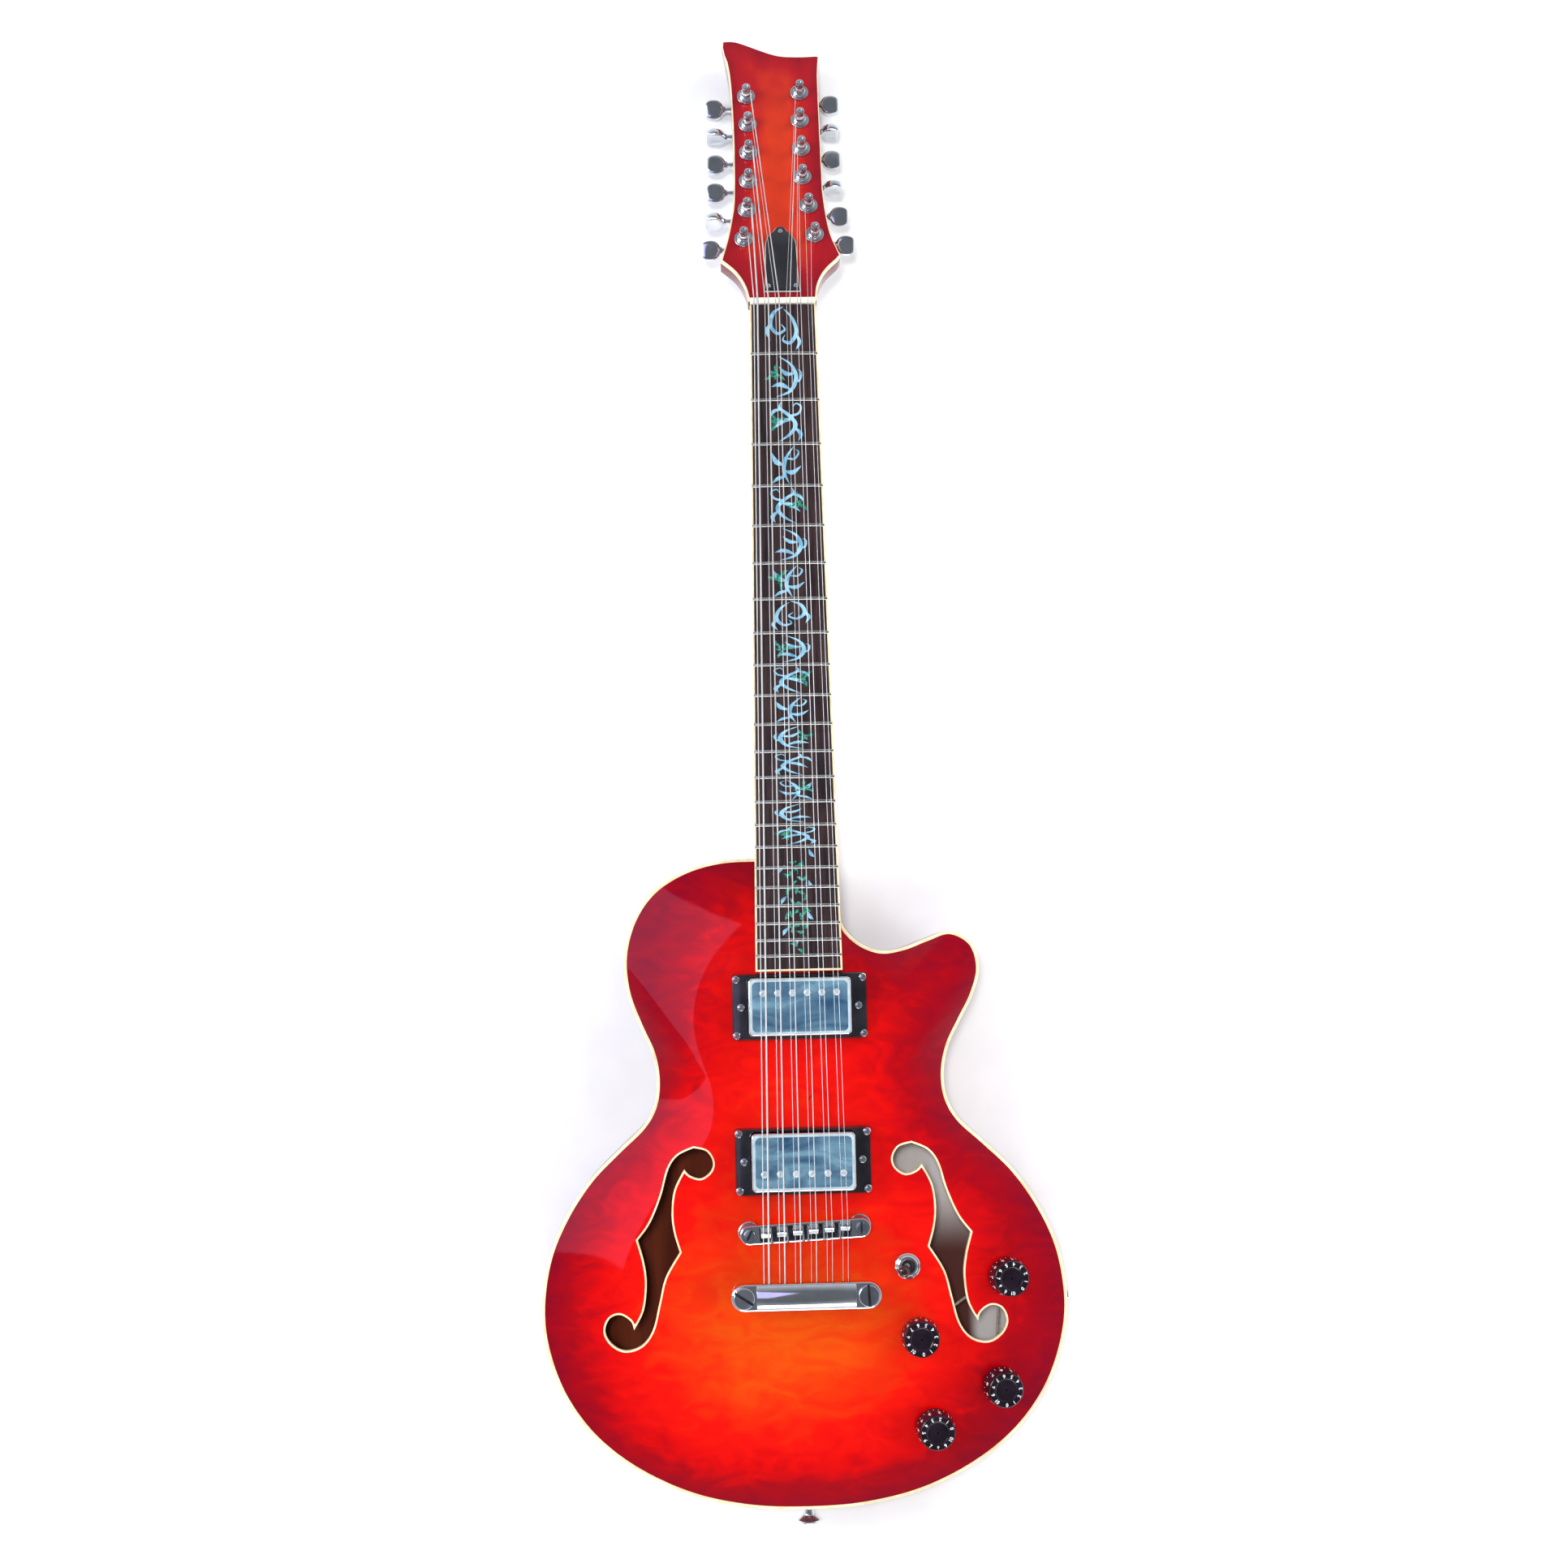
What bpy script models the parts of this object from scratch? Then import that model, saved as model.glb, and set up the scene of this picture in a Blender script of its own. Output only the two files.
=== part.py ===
"""A thinline twelve-string electric guitar, built as separate pieces.

Units are metres. The guitar lies on its back: +Z points out of the face, +Y runs up the neck to the
headstock, and +X is the side of the thin strings. The origin is on the back, under the middle of the body.
"""

import math

import bmesh
import bpy
from mathutils import Matrix, Vector

# Clearances
GAP = 0.0003
RUNNING = 0.0001

# Strings and scale
SCALE_LENGTH = 0.628
FRET_COUNT = 22
COURSE_PITCH_NUT = 0.0075
COURSE_PITCH_SADDLE = 0.0104
PAIR_SPREAD_NUT = 0.0025
PAIR_SPREAD_SADDLE = 0.0034
STRING_HEIGHT_NUT = 0.0020
STRING_HEIGHT_SADDLE = 0.0042
STRING_DIAMETERS = (
    0.00069, 0.00119, 0.00046, 0.00099, 0.00036, 0.00076,
    0.00028, 0.00058, 0.00036, 0.00040, 0.00028, 0.00030,
)
BOARD_RADIUS = 0.305
WRAP_STEPS = 7
WRAP_TURN = math.radians(52)
WRAP_DROP = 0.0002

# Body
RIM_HEIGHT = 0.045
ARCH_RISE = 0.010
ARCH_REACH = 0.5
ARCH_STEPS = (0.0, 0.12, 0.28, 0.5)
SPINE_SHARE = 0.70
TOP_THICKNESS = 0.004
BACK_THICKNESS = 0.0045
SIDE_THICKNESS = 0.0055
BACK_EDGE_ROUNDING = 0.0025
BINDING_WIDTH = 0.0018
BLOCK_HALF_WIDTH = 0.042
BODY_LEFT = (
    (-0.0262, 0.2138), (-0.0460, 0.2134), (-0.0640, 0.2102), (-0.0800, 0.2042), (-0.0950, 0.1946),
    (-0.1065, 0.1810), (-0.1140, 0.1640), (-0.1170, 0.1450), (-0.1145, 0.1240), (-0.1070, 0.1035),
    (-0.0990, 0.0850),
)
BODY_HALF = (
    (-0.0962, 0.0680), (-0.0980, 0.0510), (-0.1060, 0.0365), (-0.1230, 0.0205), (-0.1420, 0.0015),
    (-0.1590, -0.0240), (-0.1705, -0.0520), (-0.1748, -0.0850), (-0.1706, -0.1140), (-0.1590, -0.1425),
    (-0.1390, -0.1685), (-0.1110, -0.1898), (-0.0760, -0.2060), (-0.0380, -0.2145),
)
BODY_END = (0.0, -0.2166)
BODY_RIGHT = (
    (0.1000, 0.0860), (0.1085, 0.1030), (0.1170, 0.1190), (0.1220, 0.1370), (0.1175, 0.1540),
    (0.1030, 0.1622), (0.0875, 0.1578), (0.0715, 0.1520), (0.0565, 0.1500), (0.0430, 0.1548),
    (0.0325, 0.1645), (0.0280, 0.1760), (0.0266, 0.1900), (0.0262, 0.2050),
)

# Neck and fretboard, measured from the fretboard's top at the nut
NECK_ANGLE = math.radians(3.5)
BOARD_TAIL = 0.01022
BOARD_END = SCALE_LENGTH * (1 - 2 ** (-FRET_COUNT / 12)) + BOARD_TAIL
BOARD_END_Y = 0.138
BOARD_END_HEIGHT = 0.018
BOARD_THICKNESS = 0.0060
NUT_HALF_WIDTH = 0.0230
BOARD_END_HALF_WIDTH = 0.0290
FRET_HEIGHT = 0.0011
FRET_HALF_WIDTH = 0.0012
FRET_CROWN_HALF_WIDTH = 0.0006
BOARD_EDGE_MARGIN = 0.0012
NECK_STATIONS = (
    (-0.008, 0.0110), (0.012, 0.0150), (0.200, 0.0162), (BOARD_END - 0.127, 0.0175),
    (BOARD_END - 0.110, 0.0200), (BOARD_END - 0.096, 0.0270), (BOARD_END - 0.086, 0.0350),
    (BOARD_END - 0.075, 0.0430), (BOARD_END - 0.062, 0.0430),
)
NECK_SIDES = 10
TENON_HALF_WIDTH = 0.019
TENON_START = BOARD_END - 0.083
TENON_END = BOARD_END - 0.012
TENON_DEPTH = 0.036
NUT_THICKNESS = 0.0044
NUT_HEIGHT = 0.0026

# Truss rod
ROD_RADIUS = 0.0024
ROD_COVERING = 0.0014
ROD_END = BOARD_END - 0.032
ROD_NUT_RADIUS = 0.0032
ROD_NUT_START = 0.0125
ROD_NUT_LENGTH = 0.0090
ROD_WRENCH_ROOM = 0.0040

# Headstock, measured from its face behind the nut
HEAD_ANGLE = math.radians(13.0)
HEAD_START = 0.0052
HEAD_DROP = 0.0026
HEAD_THICKNESS = 0.0132
OVERLAY_THICKNESS = 0.0020
HEAD_OUTLINE = (
    (-0.0238, 0.0000), (-0.0256, 0.0085), (-0.0293, 0.0170), (-0.0342, 0.0240), (-0.0424, 0.0318),
    (-0.0381, 0.0477), (-0.0347, 0.0651), (-0.0325, 0.0825), (-0.0318, 0.1187), (-0.0319, 0.1458),
    (-0.0327, 0.1750), (-0.0342, 0.1950), (-0.0382, 0.2200), (-0.0310, 0.2203), (-0.0240, 0.2184),
    (-0.0100, 0.2120), (-0.0020, 0.2086), (0.0060, 0.2066), (0.0200, 0.2061), (0.0325, 0.2068),
    (0.0312, 0.1900), (0.0310, 0.1564), (0.0312, 0.1010), (0.0314, 0.0882), (0.0328, 0.0708),
    (0.0354, 0.0535), (0.0397, 0.0404), (0.0416, 0.0352), (0.0394, 0.0318), (0.0327, 0.0248),
    (0.0281, 0.0179), (0.0249, 0.0094), (0.0238, 0.0000),
)
COVER_OUTLINE = (
    (-0.0128, 0.0058), (-0.0118, 0.0130), (-0.0113, 0.0280), (-0.0110, 0.0440), (-0.0075, 0.0520),
    (0.0000, 0.0587), (0.0075, 0.0520), (0.0110, 0.0440), (0.0113, 0.0280), (0.0118, 0.0130),
    (0.0128, 0.0058),
)
COVER_THICKNESS = 0.0016

# Tuners
POST_PITCH = 0.0244
POST_ROWS = (
    (-0.0259, -0.0230, -0.0216, -0.0209, -0.0208, -0.0214),
    (0.0241, 0.0205, 0.0170, 0.0169, 0.0168, 0.0172),
)
POST_FIRST = (0.0491, 0.0522)
POST_RADIUS = 0.0030
POST_WAIST_RADIUS = 0.0024
POST_HEIGHT = 0.0115
POST_WAIST_LOW = 0.0048
POST_WAIST_HIGH = 0.0074
GEAR_RADIUS = 0.0046
GEAR_THICKNESS = 0.0036
WORM_RADIUS = 0.0020
WORM_DEPTH = 0.0080
WASHER_RADIUS = 0.0066
WASHER_HEIGHT = 0.0014
BUSHING_RADIUS = 0.0048
BUSHING_HEIGHT = 0.0034
CASE_DEPTH = 0.0140
CASE_HALF_WIDTH = 0.0078
CASE_INNER = 0.0072
CASE_OUTER = 0.0106
BUTTON_START = 0.0165
BUTTON_LENGTH = 0.0130
BUTTON_HALF_WIDTH = 0.0072
BUTTON_HALF_THICKNESS = 0.0029
BUTTON_TURNS = (
    (30, 75, 20, 15, 80, 25),
    (35, 25, 85, 10, 78, 15),
)
TUNER_SIDES = 8

# Pickups, each with its ring: name, place, ring height and clearance under the middle strings
SADDLE_Y = BOARD_END_Y - (SCALE_LENGTH - BOARD_END) * math.cos(NECK_ANGLE)
PICKUP_ROWS = (
    ("neck", BOARD_END_Y - 0.0236, 0.0050, 0.0031), ("bridge", SADDLE_Y + 0.0403, 0.0095, 0.0032),
)
RING_HALF = (0.0452, 0.0221)
RING_CORNER = 0.0022
COVER_HALF = (0.0343, 0.0191)
COVER_CORNER = 0.0032
PICKUP_DEPTH = 0.0180
CAVITY_DEPTH = 0.0240

# Bridge and tailpiece
BRIDGE_Y = SADDLE_Y - 0.0045
BRIDGE_SLANT = math.radians(2.6)
BRIDGE_POST_X = 0.0368
BRIDGE_HALF_WIDTH = 0.0062
BRIDGE_THICKNESS = 0.0068
BRIDGE_STUD_RADIUS = 0.0026
THUMBWHEEL_RADIUS = 0.0072
THUMBWHEEL_THICKNESS = 0.0025
SADDLE_HALF_WIDTH = 0.0030
SADDLE_HALF_LENGTH = 0.0036
SADDLE_RISE = 0.0040
SADDLE_SHOULDER = 0.0020
SADDLE_CREST = 0.0012
BRIDGE_EDGE = 0.0008
COMPENSATION_FIRST = 0.0012
COMPENSATION_STEP = 0.0007
STUD_DEPTH = 0.0200
TAIL_Y = SADDLE_Y - 0.0475
TAIL_HALF_LENGTH = 0.0495
TAIL_HALF_WIDTH = 0.0088
TAIL_HEIGHT = 0.0155
TAIL_THICKNESS = 0.0110
TAIL_STUD_X = 0.0410
TAIL_STUD_RADIUS = 0.0072
TAIL_STUD_SHANK = 0.0040
TAIL_HOLE_RADIUS = 0.0013
TAIL_HOLE_DEPTH = 0.0110
TAIL_HOLE_DROP = 0.0050

# Controls
KNOB_PLACES = (
    ("neck_volume", 0.1337, -0.0671), ("bridge_volume", 0.0748, -0.1043),
    ("neck_tone", 0.1281, -0.1382), ("bridge_tone", 0.0830, -0.1637),
)
KNOB_RADIUS = 0.0127
KNOB_TOP_RADIUS = 0.0117
KNOB_HEIGHT = 0.0142
KNOB_LIFT = 0.0012
KNOB_BORE_DEPTH = 0.0105
KNOB_SIDES = 24
SHAFT_RADIUS = 0.0030
POT_BUSHING_RADIUS = 0.0042
POT_NUT_HEIGHT = 0.0022
POT_RADIUS = 0.0120
POT_HEIGHT = 0.0090
POT_SEAT = 0.0015
POT_SIDES = 14
SWITCH_PLACE = (0.0678, -0.0585)
SWITCH_RADIUS = 0.0058
SWITCH_NUT_RADIUS = 0.0084
SWITCH_NUT_HEIGHT = 0.0030
SWITCH_DEPTH = 0.0200
SWITCH_SIDES = 12
SWITCH_BODY_HALF = (0.0085, 0.0050)
LEVER_REST_LEAN = math.radians(17.0)
LEVER_HEADING = math.radians(212.0)
LEVER_LENGTH = 0.0165
LEVER_TIP_RADIUS = 0.0033
LEVER_BALL_RADIUS = 0.0026
LEVER_BALL_FLAT = 0.4
LEVER_BALL_REACH = LEVER_BALL_RADIUS * math.hypot(1.0, LEVER_BALL_FLAT)
LEVER_SLOT_RADIUS = 0.0046
LEVER_PIVOT_Z = -0.0010
WIRE_RADIUS = 0.0009
WIRE_SAG = 0.0040

# Output jack and strap buttons
JACK_Y = -0.0850
JACK_Z = 0.0205
JACK_SOCKET_RADIUS = 0.0034
JACK_BARREL_RADIUS = 0.0046
JACK_NUT_RADIUS = 0.0085
JACK_NUT_THICKNESS = 0.0030
JACK_BODY_RADIUS = 0.0090
JACK_BODY_LENGTH = 0.0170
JACK_BODY_GAP = 0.0008
JACK_SEAT = GAP
JACK_LIP = 0.0009
JACK_SIDES = 12
BUTTON_BASE_RADIUS = 0.0052
BUTTON_RIM_RADIUS = 0.0072
BUTTON_NECK_RADIUS = 0.0038
STRAP_BUTTON_HEIGHT = 0.0140
BUTTON_BASE_HEIGHT = 0.0049
BUTTON_RIM_THICKNESS = 0.0021
STRAP_SCREW_RADIUS = 0.0018
STRAP_SCREW_LENGTH = 0.0100

# F-holes, one smooth run between each two corners
F_HOLE_RUNS = (
    ((0.0725, 0.0222), (0.0830, 0.0174), (0.0895, 0.0085), (0.0945, -0.0085), (0.1020, -0.0260),
     (0.1105, -0.0375)),
    ((0.1105, -0.0375), (0.1065, -0.0520), (0.1050, -0.0660), (0.1072, -0.0830), (0.1138, -0.0958)),
    ((0.1138, -0.0958), (0.1160, -0.0900), (0.1230, -0.0858), (0.1300, -0.0883), (0.1330, -0.0965),
     (0.1290, -0.1045), (0.1200, -0.1092), (0.1090, -0.1060), (0.1015, -0.0960), (0.0970, -0.0790),
     (0.0925, -0.0620), (0.0828, -0.0458)),
    ((0.0828, -0.0458), (0.0865, -0.0330), (0.0878, -0.0200), (0.0858, -0.0050), (0.0790, 0.0083)),
    ((0.0790, 0.0083), (0.0753, 0.0043), (0.0680, 0.0022), (0.0615, 0.0065), (0.0599, 0.0130),
     (0.0640, 0.0198), (0.0725, 0.0222)),
)
F_HOLE_STEPS = 2


def clear_scene():
    """Empties the scene, so that the guitar stands alone."""
    for obj in list(bpy.data.objects):
        bpy.data.objects.remove(obj)


def finish(name, color, roughness, metallic=0.0):
    """A plain surface of one colour."""
    material = bpy.data.materials.new(name)
    material.use_nodes = True
    shader = material.node_tree.nodes["Principled BSDF"]
    shader.inputs["Base Color"].default_value = (*color, 1.0)
    shader.inputs["Roughness"].default_value = roughness
    shader.inputs["Metallic"].default_value = metallic
    return material


def solid(name, points, faces, material=None, parent=None, place=None):
    """A mesh object from its points and faces; with no material it is a hidden cutter or guide."""
    mesh = bpy.data.meshes.new(name)
    mesh.from_pydata([tuple(p) for p in points], [], faces)
    sheet = bmesh.new()
    sheet.from_mesh(mesh)
    bmesh.ops.recalc_face_normals(sheet, faces=sheet.faces)
    sheet.to_mesh(mesh)
    sheet.free()
    obj = bpy.data.objects.new(name, mesh)
    bpy.context.collection.objects.link(obj)
    obj.parent = parent
    if place is not None:
        obj.matrix_local = place
    if material is None:
        obj.hide_render = True
        obj.display_type = "WIRE"
    else:
        mesh.materials.append(material)
        mesh.shade_smooth()
        mesh.set_sharp_from_angle(angle=math.radians(30))
    return obj


def boolean(target, other, operation):
    """Cuts, or joins, another solid."""
    step = target.modifiers.new(operation.title() + " " + other.name, "BOOLEAN")
    step.operation = operation
    step.solver = "EXACT"
    step.object = other


def cut(target, *others):
    for other in others:
        boolean(target, other, "DIFFERENCE")


def join(target, *others):
    for other in others:
        boolean(target, other, "UNION")


def loft(rings):
    """Points and faces of a closed skin through rings of equal point counts, capped at both ends."""
    count = len(rings[0])
    points = [p for ring in rings for p in ring]
    faces = [list(range(count))[::-1]]
    for k in range(len(rings) - 1):
        low, high = k * count, (k + 1) * count
        for i in range(count):
            j = (i + 1) % count
            faces.append([low + i, low + j, high + j, high + i])
    faces.append([(len(rings) - 1) * count + i for i in range(count)])
    return points, faces


def merge(*shapes):
    """Several separate closed shapes as one list of points and faces."""
    points, faces = [], []
    for more_points, more_faces in shapes:
        start = len(points)
        points.extend(more_points)
        faces.extend([[start + i for i in face] for face in more_faces])
    return points, faces


def moved(shape, matrix):
    points, faces = shape
    return [matrix @ Vector(p) for p in points], faces


def prism(outline, low, high):
    """An outline carried from one height to another."""
    return loft([[(x, y, z) for x, y in outline] for z in (low, high)])


def rectangle(half_x, half_y, centre):
    x, y = centre
    corners = ((-half_x, -half_y), (half_x, -half_y), (half_x, half_y), (-half_x, half_y))
    return [(x + a, y + b) for a, b in corners]


def box(half_x, half_y, low, high, centre=(0.0, 0.0)):
    return prism(rectangle(half_x, half_y, centre), low, high)


def circle(radius, sides):
    step = 2 * math.pi / sides
    return [(radius * math.cos(i * step), radius * math.sin(i * step)) for i in range(sides)]


def turned(profile, sides):
    """A turned piece about Z, from pairs of radius and height, low to high."""
    return loft([[(x, y, z) for x, y in circle(radius, sides)] for radius, z in profile])


def loop(rings):
    """A closed skin through rings that come back to the first, as in a frame with an open middle."""
    points, faces = loft(rings + [rings[0]])
    count = len(rings) * len(rings[0])
    return points[:count], [[i % count for i in face] for face in faces[1:-1]]


def turned_tube(profile, sides):
    """A turned piece with an open bore: pairs of radius and height up the outside, then down the bore."""
    return loop([[(x, y, z) for x, y in circle(radius, sides)] for radius, z in profile])


def roomy(radius):
    """The radius of a bore whose flats clear a turning piece by the running clearance."""
    return (radius + RUNNING) / math.cos(math.pi / TUNER_SIDES)


def rounded_rectangle(half_x, half_y, corner, steps=3):
    outline = []
    for quarter, (sx, sy) in enumerate(((1, 1), (-1, 1), (-1, -1), (1, -1))):
        cx, cy = sx * (half_x - corner), sy * (half_y - corner)
        for i in range(steps + 1):
            angle = (quarter + i / steps) * math.pi / 2
            outline.append((cx + corner * math.cos(angle), cy + corner * math.sin(angle)))
    return outline


def smooth_run(points, steps, closed=False):
    """Points on a smooth curve through the given points, with so many steps in each span."""
    count = len(points)
    spans = count if closed else count - 1
    result = []
    for k in range(spans):
        near = [points[(k + i) % count] if closed else points[min(max(k + i, 0), count - 1)]
                for i in (-1, 0, 1, 2)]
        for step in range(steps):
            t = step / steps
            result.append(tuple(
                0.5 * (2 * b + (c - a) * t + (2 * a - 5 * b + 4 * c - d) * t * t
                       + (3 * b - a - 3 * c + d) * t ** 3)
                for a, b, c, d in zip(*near)
            ))
    if not closed:
        result.append(points[-1])
    return result


def inset(outline, distance):
    """The outline drawn in by a distance, or out by a negative one; it runs anticlockwise."""
    result = []
    for i, (x, y) in enumerate(outline):
        (xa, ya), (xb, yb) = outline[i - 1], outline[(i + 1) % len(outline)]
        before = Vector((x - xa, y - ya)).normalized()
        after = Vector((xb - x, yb - y)).normalized()
        normal = Vector((-(before + after).y, (before + after).x)).normalized()
        spread = max(normal.dot(Vector((-before.y, before.x))), 0.5)
        result.append((x + normal.x * distance / spread, y + normal.y * distance / spread))
    return result


def body_outline():
    """The body seen from the front, anticlockwise from the neck, binding included."""
    lower_right = [(-x, y) for x, y in reversed(BODY_HALF)]
    around = [*BODY_LEFT, *BODY_HALF, BODY_END, *lower_right, *BODY_RIGHT]
    start = around[0]
    end = (around[-1][0], start[1])
    return smooth_run([*around, end], 2)


def shrunk(outline, share):
    """The outline drawn in towards the middle of the body, for one level of the arch."""
    return [(x * (1 - share), y * (1 - SPINE_SHARE * share)) for x, y in outline]


def arch_rise(share):
    """How far the top stands above the rim at one level of the arch."""
    return ARCH_RISE * (1 - (1 - min(share / ARCH_REACH, 1.0)) ** 2)


def inside(outline, x, y):
    result = False
    for i, (xb, yb) in enumerate(outline):
        xa, ya = outline[i - 1]
        if (ya > y) != (yb > y) and x < xa + (y - ya) * (xb - xa) / (yb - ya):
            result = not result
    return result


def top_height(x, y):
    """The height of the arched top above the back, at a place on the body."""
    low, high = 0.0, ARCH_REACH
    for _ in range(30):
        middle = (low + high) / 2
        if inside(OUTLINE, x / (1 - middle), y / (1 - SPINE_SHARE * middle)):
            low = middle
        else:
            high = middle
    return RIM_HEIGHT + arch_rise(high)


def top_frame(x, y):
    """A frame standing on the arched top, with Z square to it."""
    reach = TOP_THICKNESS
    slope_x = (top_height(x + reach, y) - top_height(x - reach, y)) / (2 * reach)
    slope_y = (top_height(x, y + reach) - top_height(x, y - reach)) / (2 * reach)
    normal = Vector((-slope_x, -slope_y, 1.0)).normalized()
    turn = normal.to_track_quat("Z", "Y").to_matrix().to_4x4()
    return Matrix.Translation((x, y, top_height(x, y))) @ turn


def arch_rings(outline, lift):
    return [[(x, y, RIM_HEIGHT + arch_rise(share) + lift) for x, y in shrunk(outline, share)]
            for share in ARCH_STEPS]


def f_hole(side):
    outline = []
    for run in F_HOLE_RUNS:
        outline.extend(smooth_run(run, F_HOLE_STEPS)[:-1])
    return [(side * x, y) for x, y in outline]


def fret_place(number):
    """Distance from the nut to a fret in equal temperament."""
    return SCALE_LENGTH * (1 - 2 ** (-number / 12))


def board_half_width(place):
    return NUT_HALF_WIDTH + (BOARD_END_HALF_WIDTH - NUT_HALF_WIDTH) * place / BOARD_END


def crown(x):
    """How far the rounded fretboard falls away beside its centre line."""
    return x * x / (2 * BOARD_RADIUS)


def string_x(index, pitch, spread):
    course, member = divmod(index, 2)
    return (course - 2.5) * pitch + (member - 0.5) * spread


clear_scene()

LACQUER_RED = finish("cherry_lacquer", (0.62, 0.03, 0.02), 0.15)
SUNBURST = finish("sunburst_top", (0.85, 0.10, 0.01), 0.12)
CREAM = finish("cream_binding", (0.90, 0.85, 0.68), 0.3)
HEAD_RED = finish("crimson_head_face", (0.55, 0.03, 0.06), 0.15)
ROSEWOOD = finish("rosewood", (0.06, 0.035, 0.03), 0.5)
BONE = finish("ivory_nut", (0.90, 0.87, 0.75), 0.4)
BLACK = finish("black_plastic", (0.015, 0.015, 0.018), 0.25)
CHROME = finish("chrome", (0.80, 0.82, 0.85), 0.08, 1.0)
STEEL = finish("string_steel", (0.72, 0.72, 0.74), 0.25, 1.0)
ROD_STEEL = finish("rod_steel", (0.40, 0.40, 0.42), 0.4, 1.0)
POT_METAL = finish("pot_metal", (0.62, 0.60, 0.56), 0.4, 1.0)

OUTLINE = body_outline()
TOP_Z = RIM_HEIGHT + ARCH_RISE
SEAM_Z = RIM_HEIGHT - TOP_THICKNESS
TOP_OUTLINE = inset(OUTLINE, BINDING_WIDTH + GAP)

# The neck's frame: X across, Y up the neck, Z out of the fretboard, with its origin at the nut
NECK_REACH = BOARD_END * math.cos(NECK_ANGLE)
NECK_FALL = BOARD_END * math.sin(NECK_ANGLE)
BOARD_END_Z = RIM_HEIGHT + BOARD_END_HEIGHT
neck_axis = bpy.data.objects.new("neck_axis", None)
bpy.context.collection.objects.link(neck_axis)
NECK_FRAME = (Matrix.Translation((0.0, BOARD_END_Y + NECK_REACH, BOARD_END_Z - NECK_FALL))
              @ Matrix.Rotation(-NECK_ANGLE, 4, "X"))
neck_axis.matrix_world = NECK_FRAME
head_axis = bpy.data.objects.new("head_axis", None)
bpy.context.collection.objects.link(head_axis)
head_axis.parent = neck_axis
HEAD_LOCAL = Matrix.Translation((0.0, HEAD_START, -HEAD_DROP)) @ Matrix.Rotation(-HEAD_ANGLE, 4, "X")
head_axis.matrix_local = HEAD_LOCAL
HEAD_FRAME = NECK_FRAME @ HEAD_LOCAL


def tuner_frames():
    """The frame of each tuner on the headstock's face, with X pointing out to its button."""
    frames = []
    for side in (0, 1):
        for row in range(6):
            place = Matrix.Translation((POST_ROWS[side][row], POST_FIRST[side] + row * POST_PITCH, 0.0))
            outward = Matrix.Scale(-1.0, 4, (1.0, 0.0, 0.0)) if side == 0 else Matrix.Identity(4)
            frames.append((side, row, place @ outward))
    return frames


TUNERS = tuner_frames()
WORM_OFFSET = GEAR_RADIUS + WORM_RADIUS + RUNNING
HEAD_BACK = -(OVERLAY_THICKNESS + HEAD_THICKNESS)
WORM_Z = HEAD_BACK - WORM_DEPTH
CASE_BOTTOM = HEAD_BACK - CASE_DEPTH


def build_body():
    """The hollow back with its sides and centre block, the binding and the carved top."""
    wall_top = SEAM_Z - GAP
    low = inset(OUTLINE, BACK_EDGE_ROUNDING)
    rings = [[(x, y, 0.0) for x, y in low], [(x, y, BACK_EDGE_ROUNDING) for x, y in OUTLINE],
             [(x, y, wall_top) for x, y in OUTLINE]]
    back = solid("body_back", *loft(rings), LACQUER_RED)
    inner = inset(OUTLINE, SIDE_THICKNESS)
    chambers = solid("chamber_cutter", *prism(inner, BACK_THICKNESS, RIM_HEIGHT))
    block = solid("centre_block", *box(BLOCK_HALF_WIDTH, SCALE_LENGTH, 0.0, TOP_Z))
    cut(chambers, block)
    cut(back, chambers)
    block_top = solid("block_cap", *loft(arch_rings(inset(OUTLINE, SIDE_THICKNESS + BINDING_WIDTH),
                                                    -TOP_THICKNESS - GAP)))
    block_side = solid("block_strip", *box(BLOCK_HALF_WIDTH, SCALE_LENGTH, BACK_THICKNESS, TOP_Z))
    boolean(block_top, block_side, "INTERSECT")
    join(back, block_top)
    strip = [[(x, y, z) for x, y in outline] for outline, z in (
        (OUTLINE, SEAM_Z), (OUTLINE, RIM_HEIGHT),
        (inset(OUTLINE, BINDING_WIDTH), RIM_HEIGHT), (inset(OUTLINE, BINDING_WIDTH), SEAM_Z))]
    binding = solid("body_binding", *loop(strip), CREAM)
    under = arch_rings(TOP_OUTLINE, -TOP_THICKNESS)
    top = solid("body_top", *loft(under[::-1] + arch_rings(TOP_OUTLINE, 0.0)), SUNBURST)
    holes = solid("f_hole_cutter", *merge(*[prism(f_hole(side), BACK_THICKNESS * 2, TOP_Z + BINDING_WIDTH)
                                            for side in (-1, 1)]))
    cut(top, holes)
    return back, binding, top


def bridge_post(side):
    """Where one of the two bridge posts stands; the bridge lies slanted across the strings."""
    x = side * BRIDGE_POST_X
    return x, BRIDGE_Y + x * math.tan(BRIDGE_SLANT)


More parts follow.
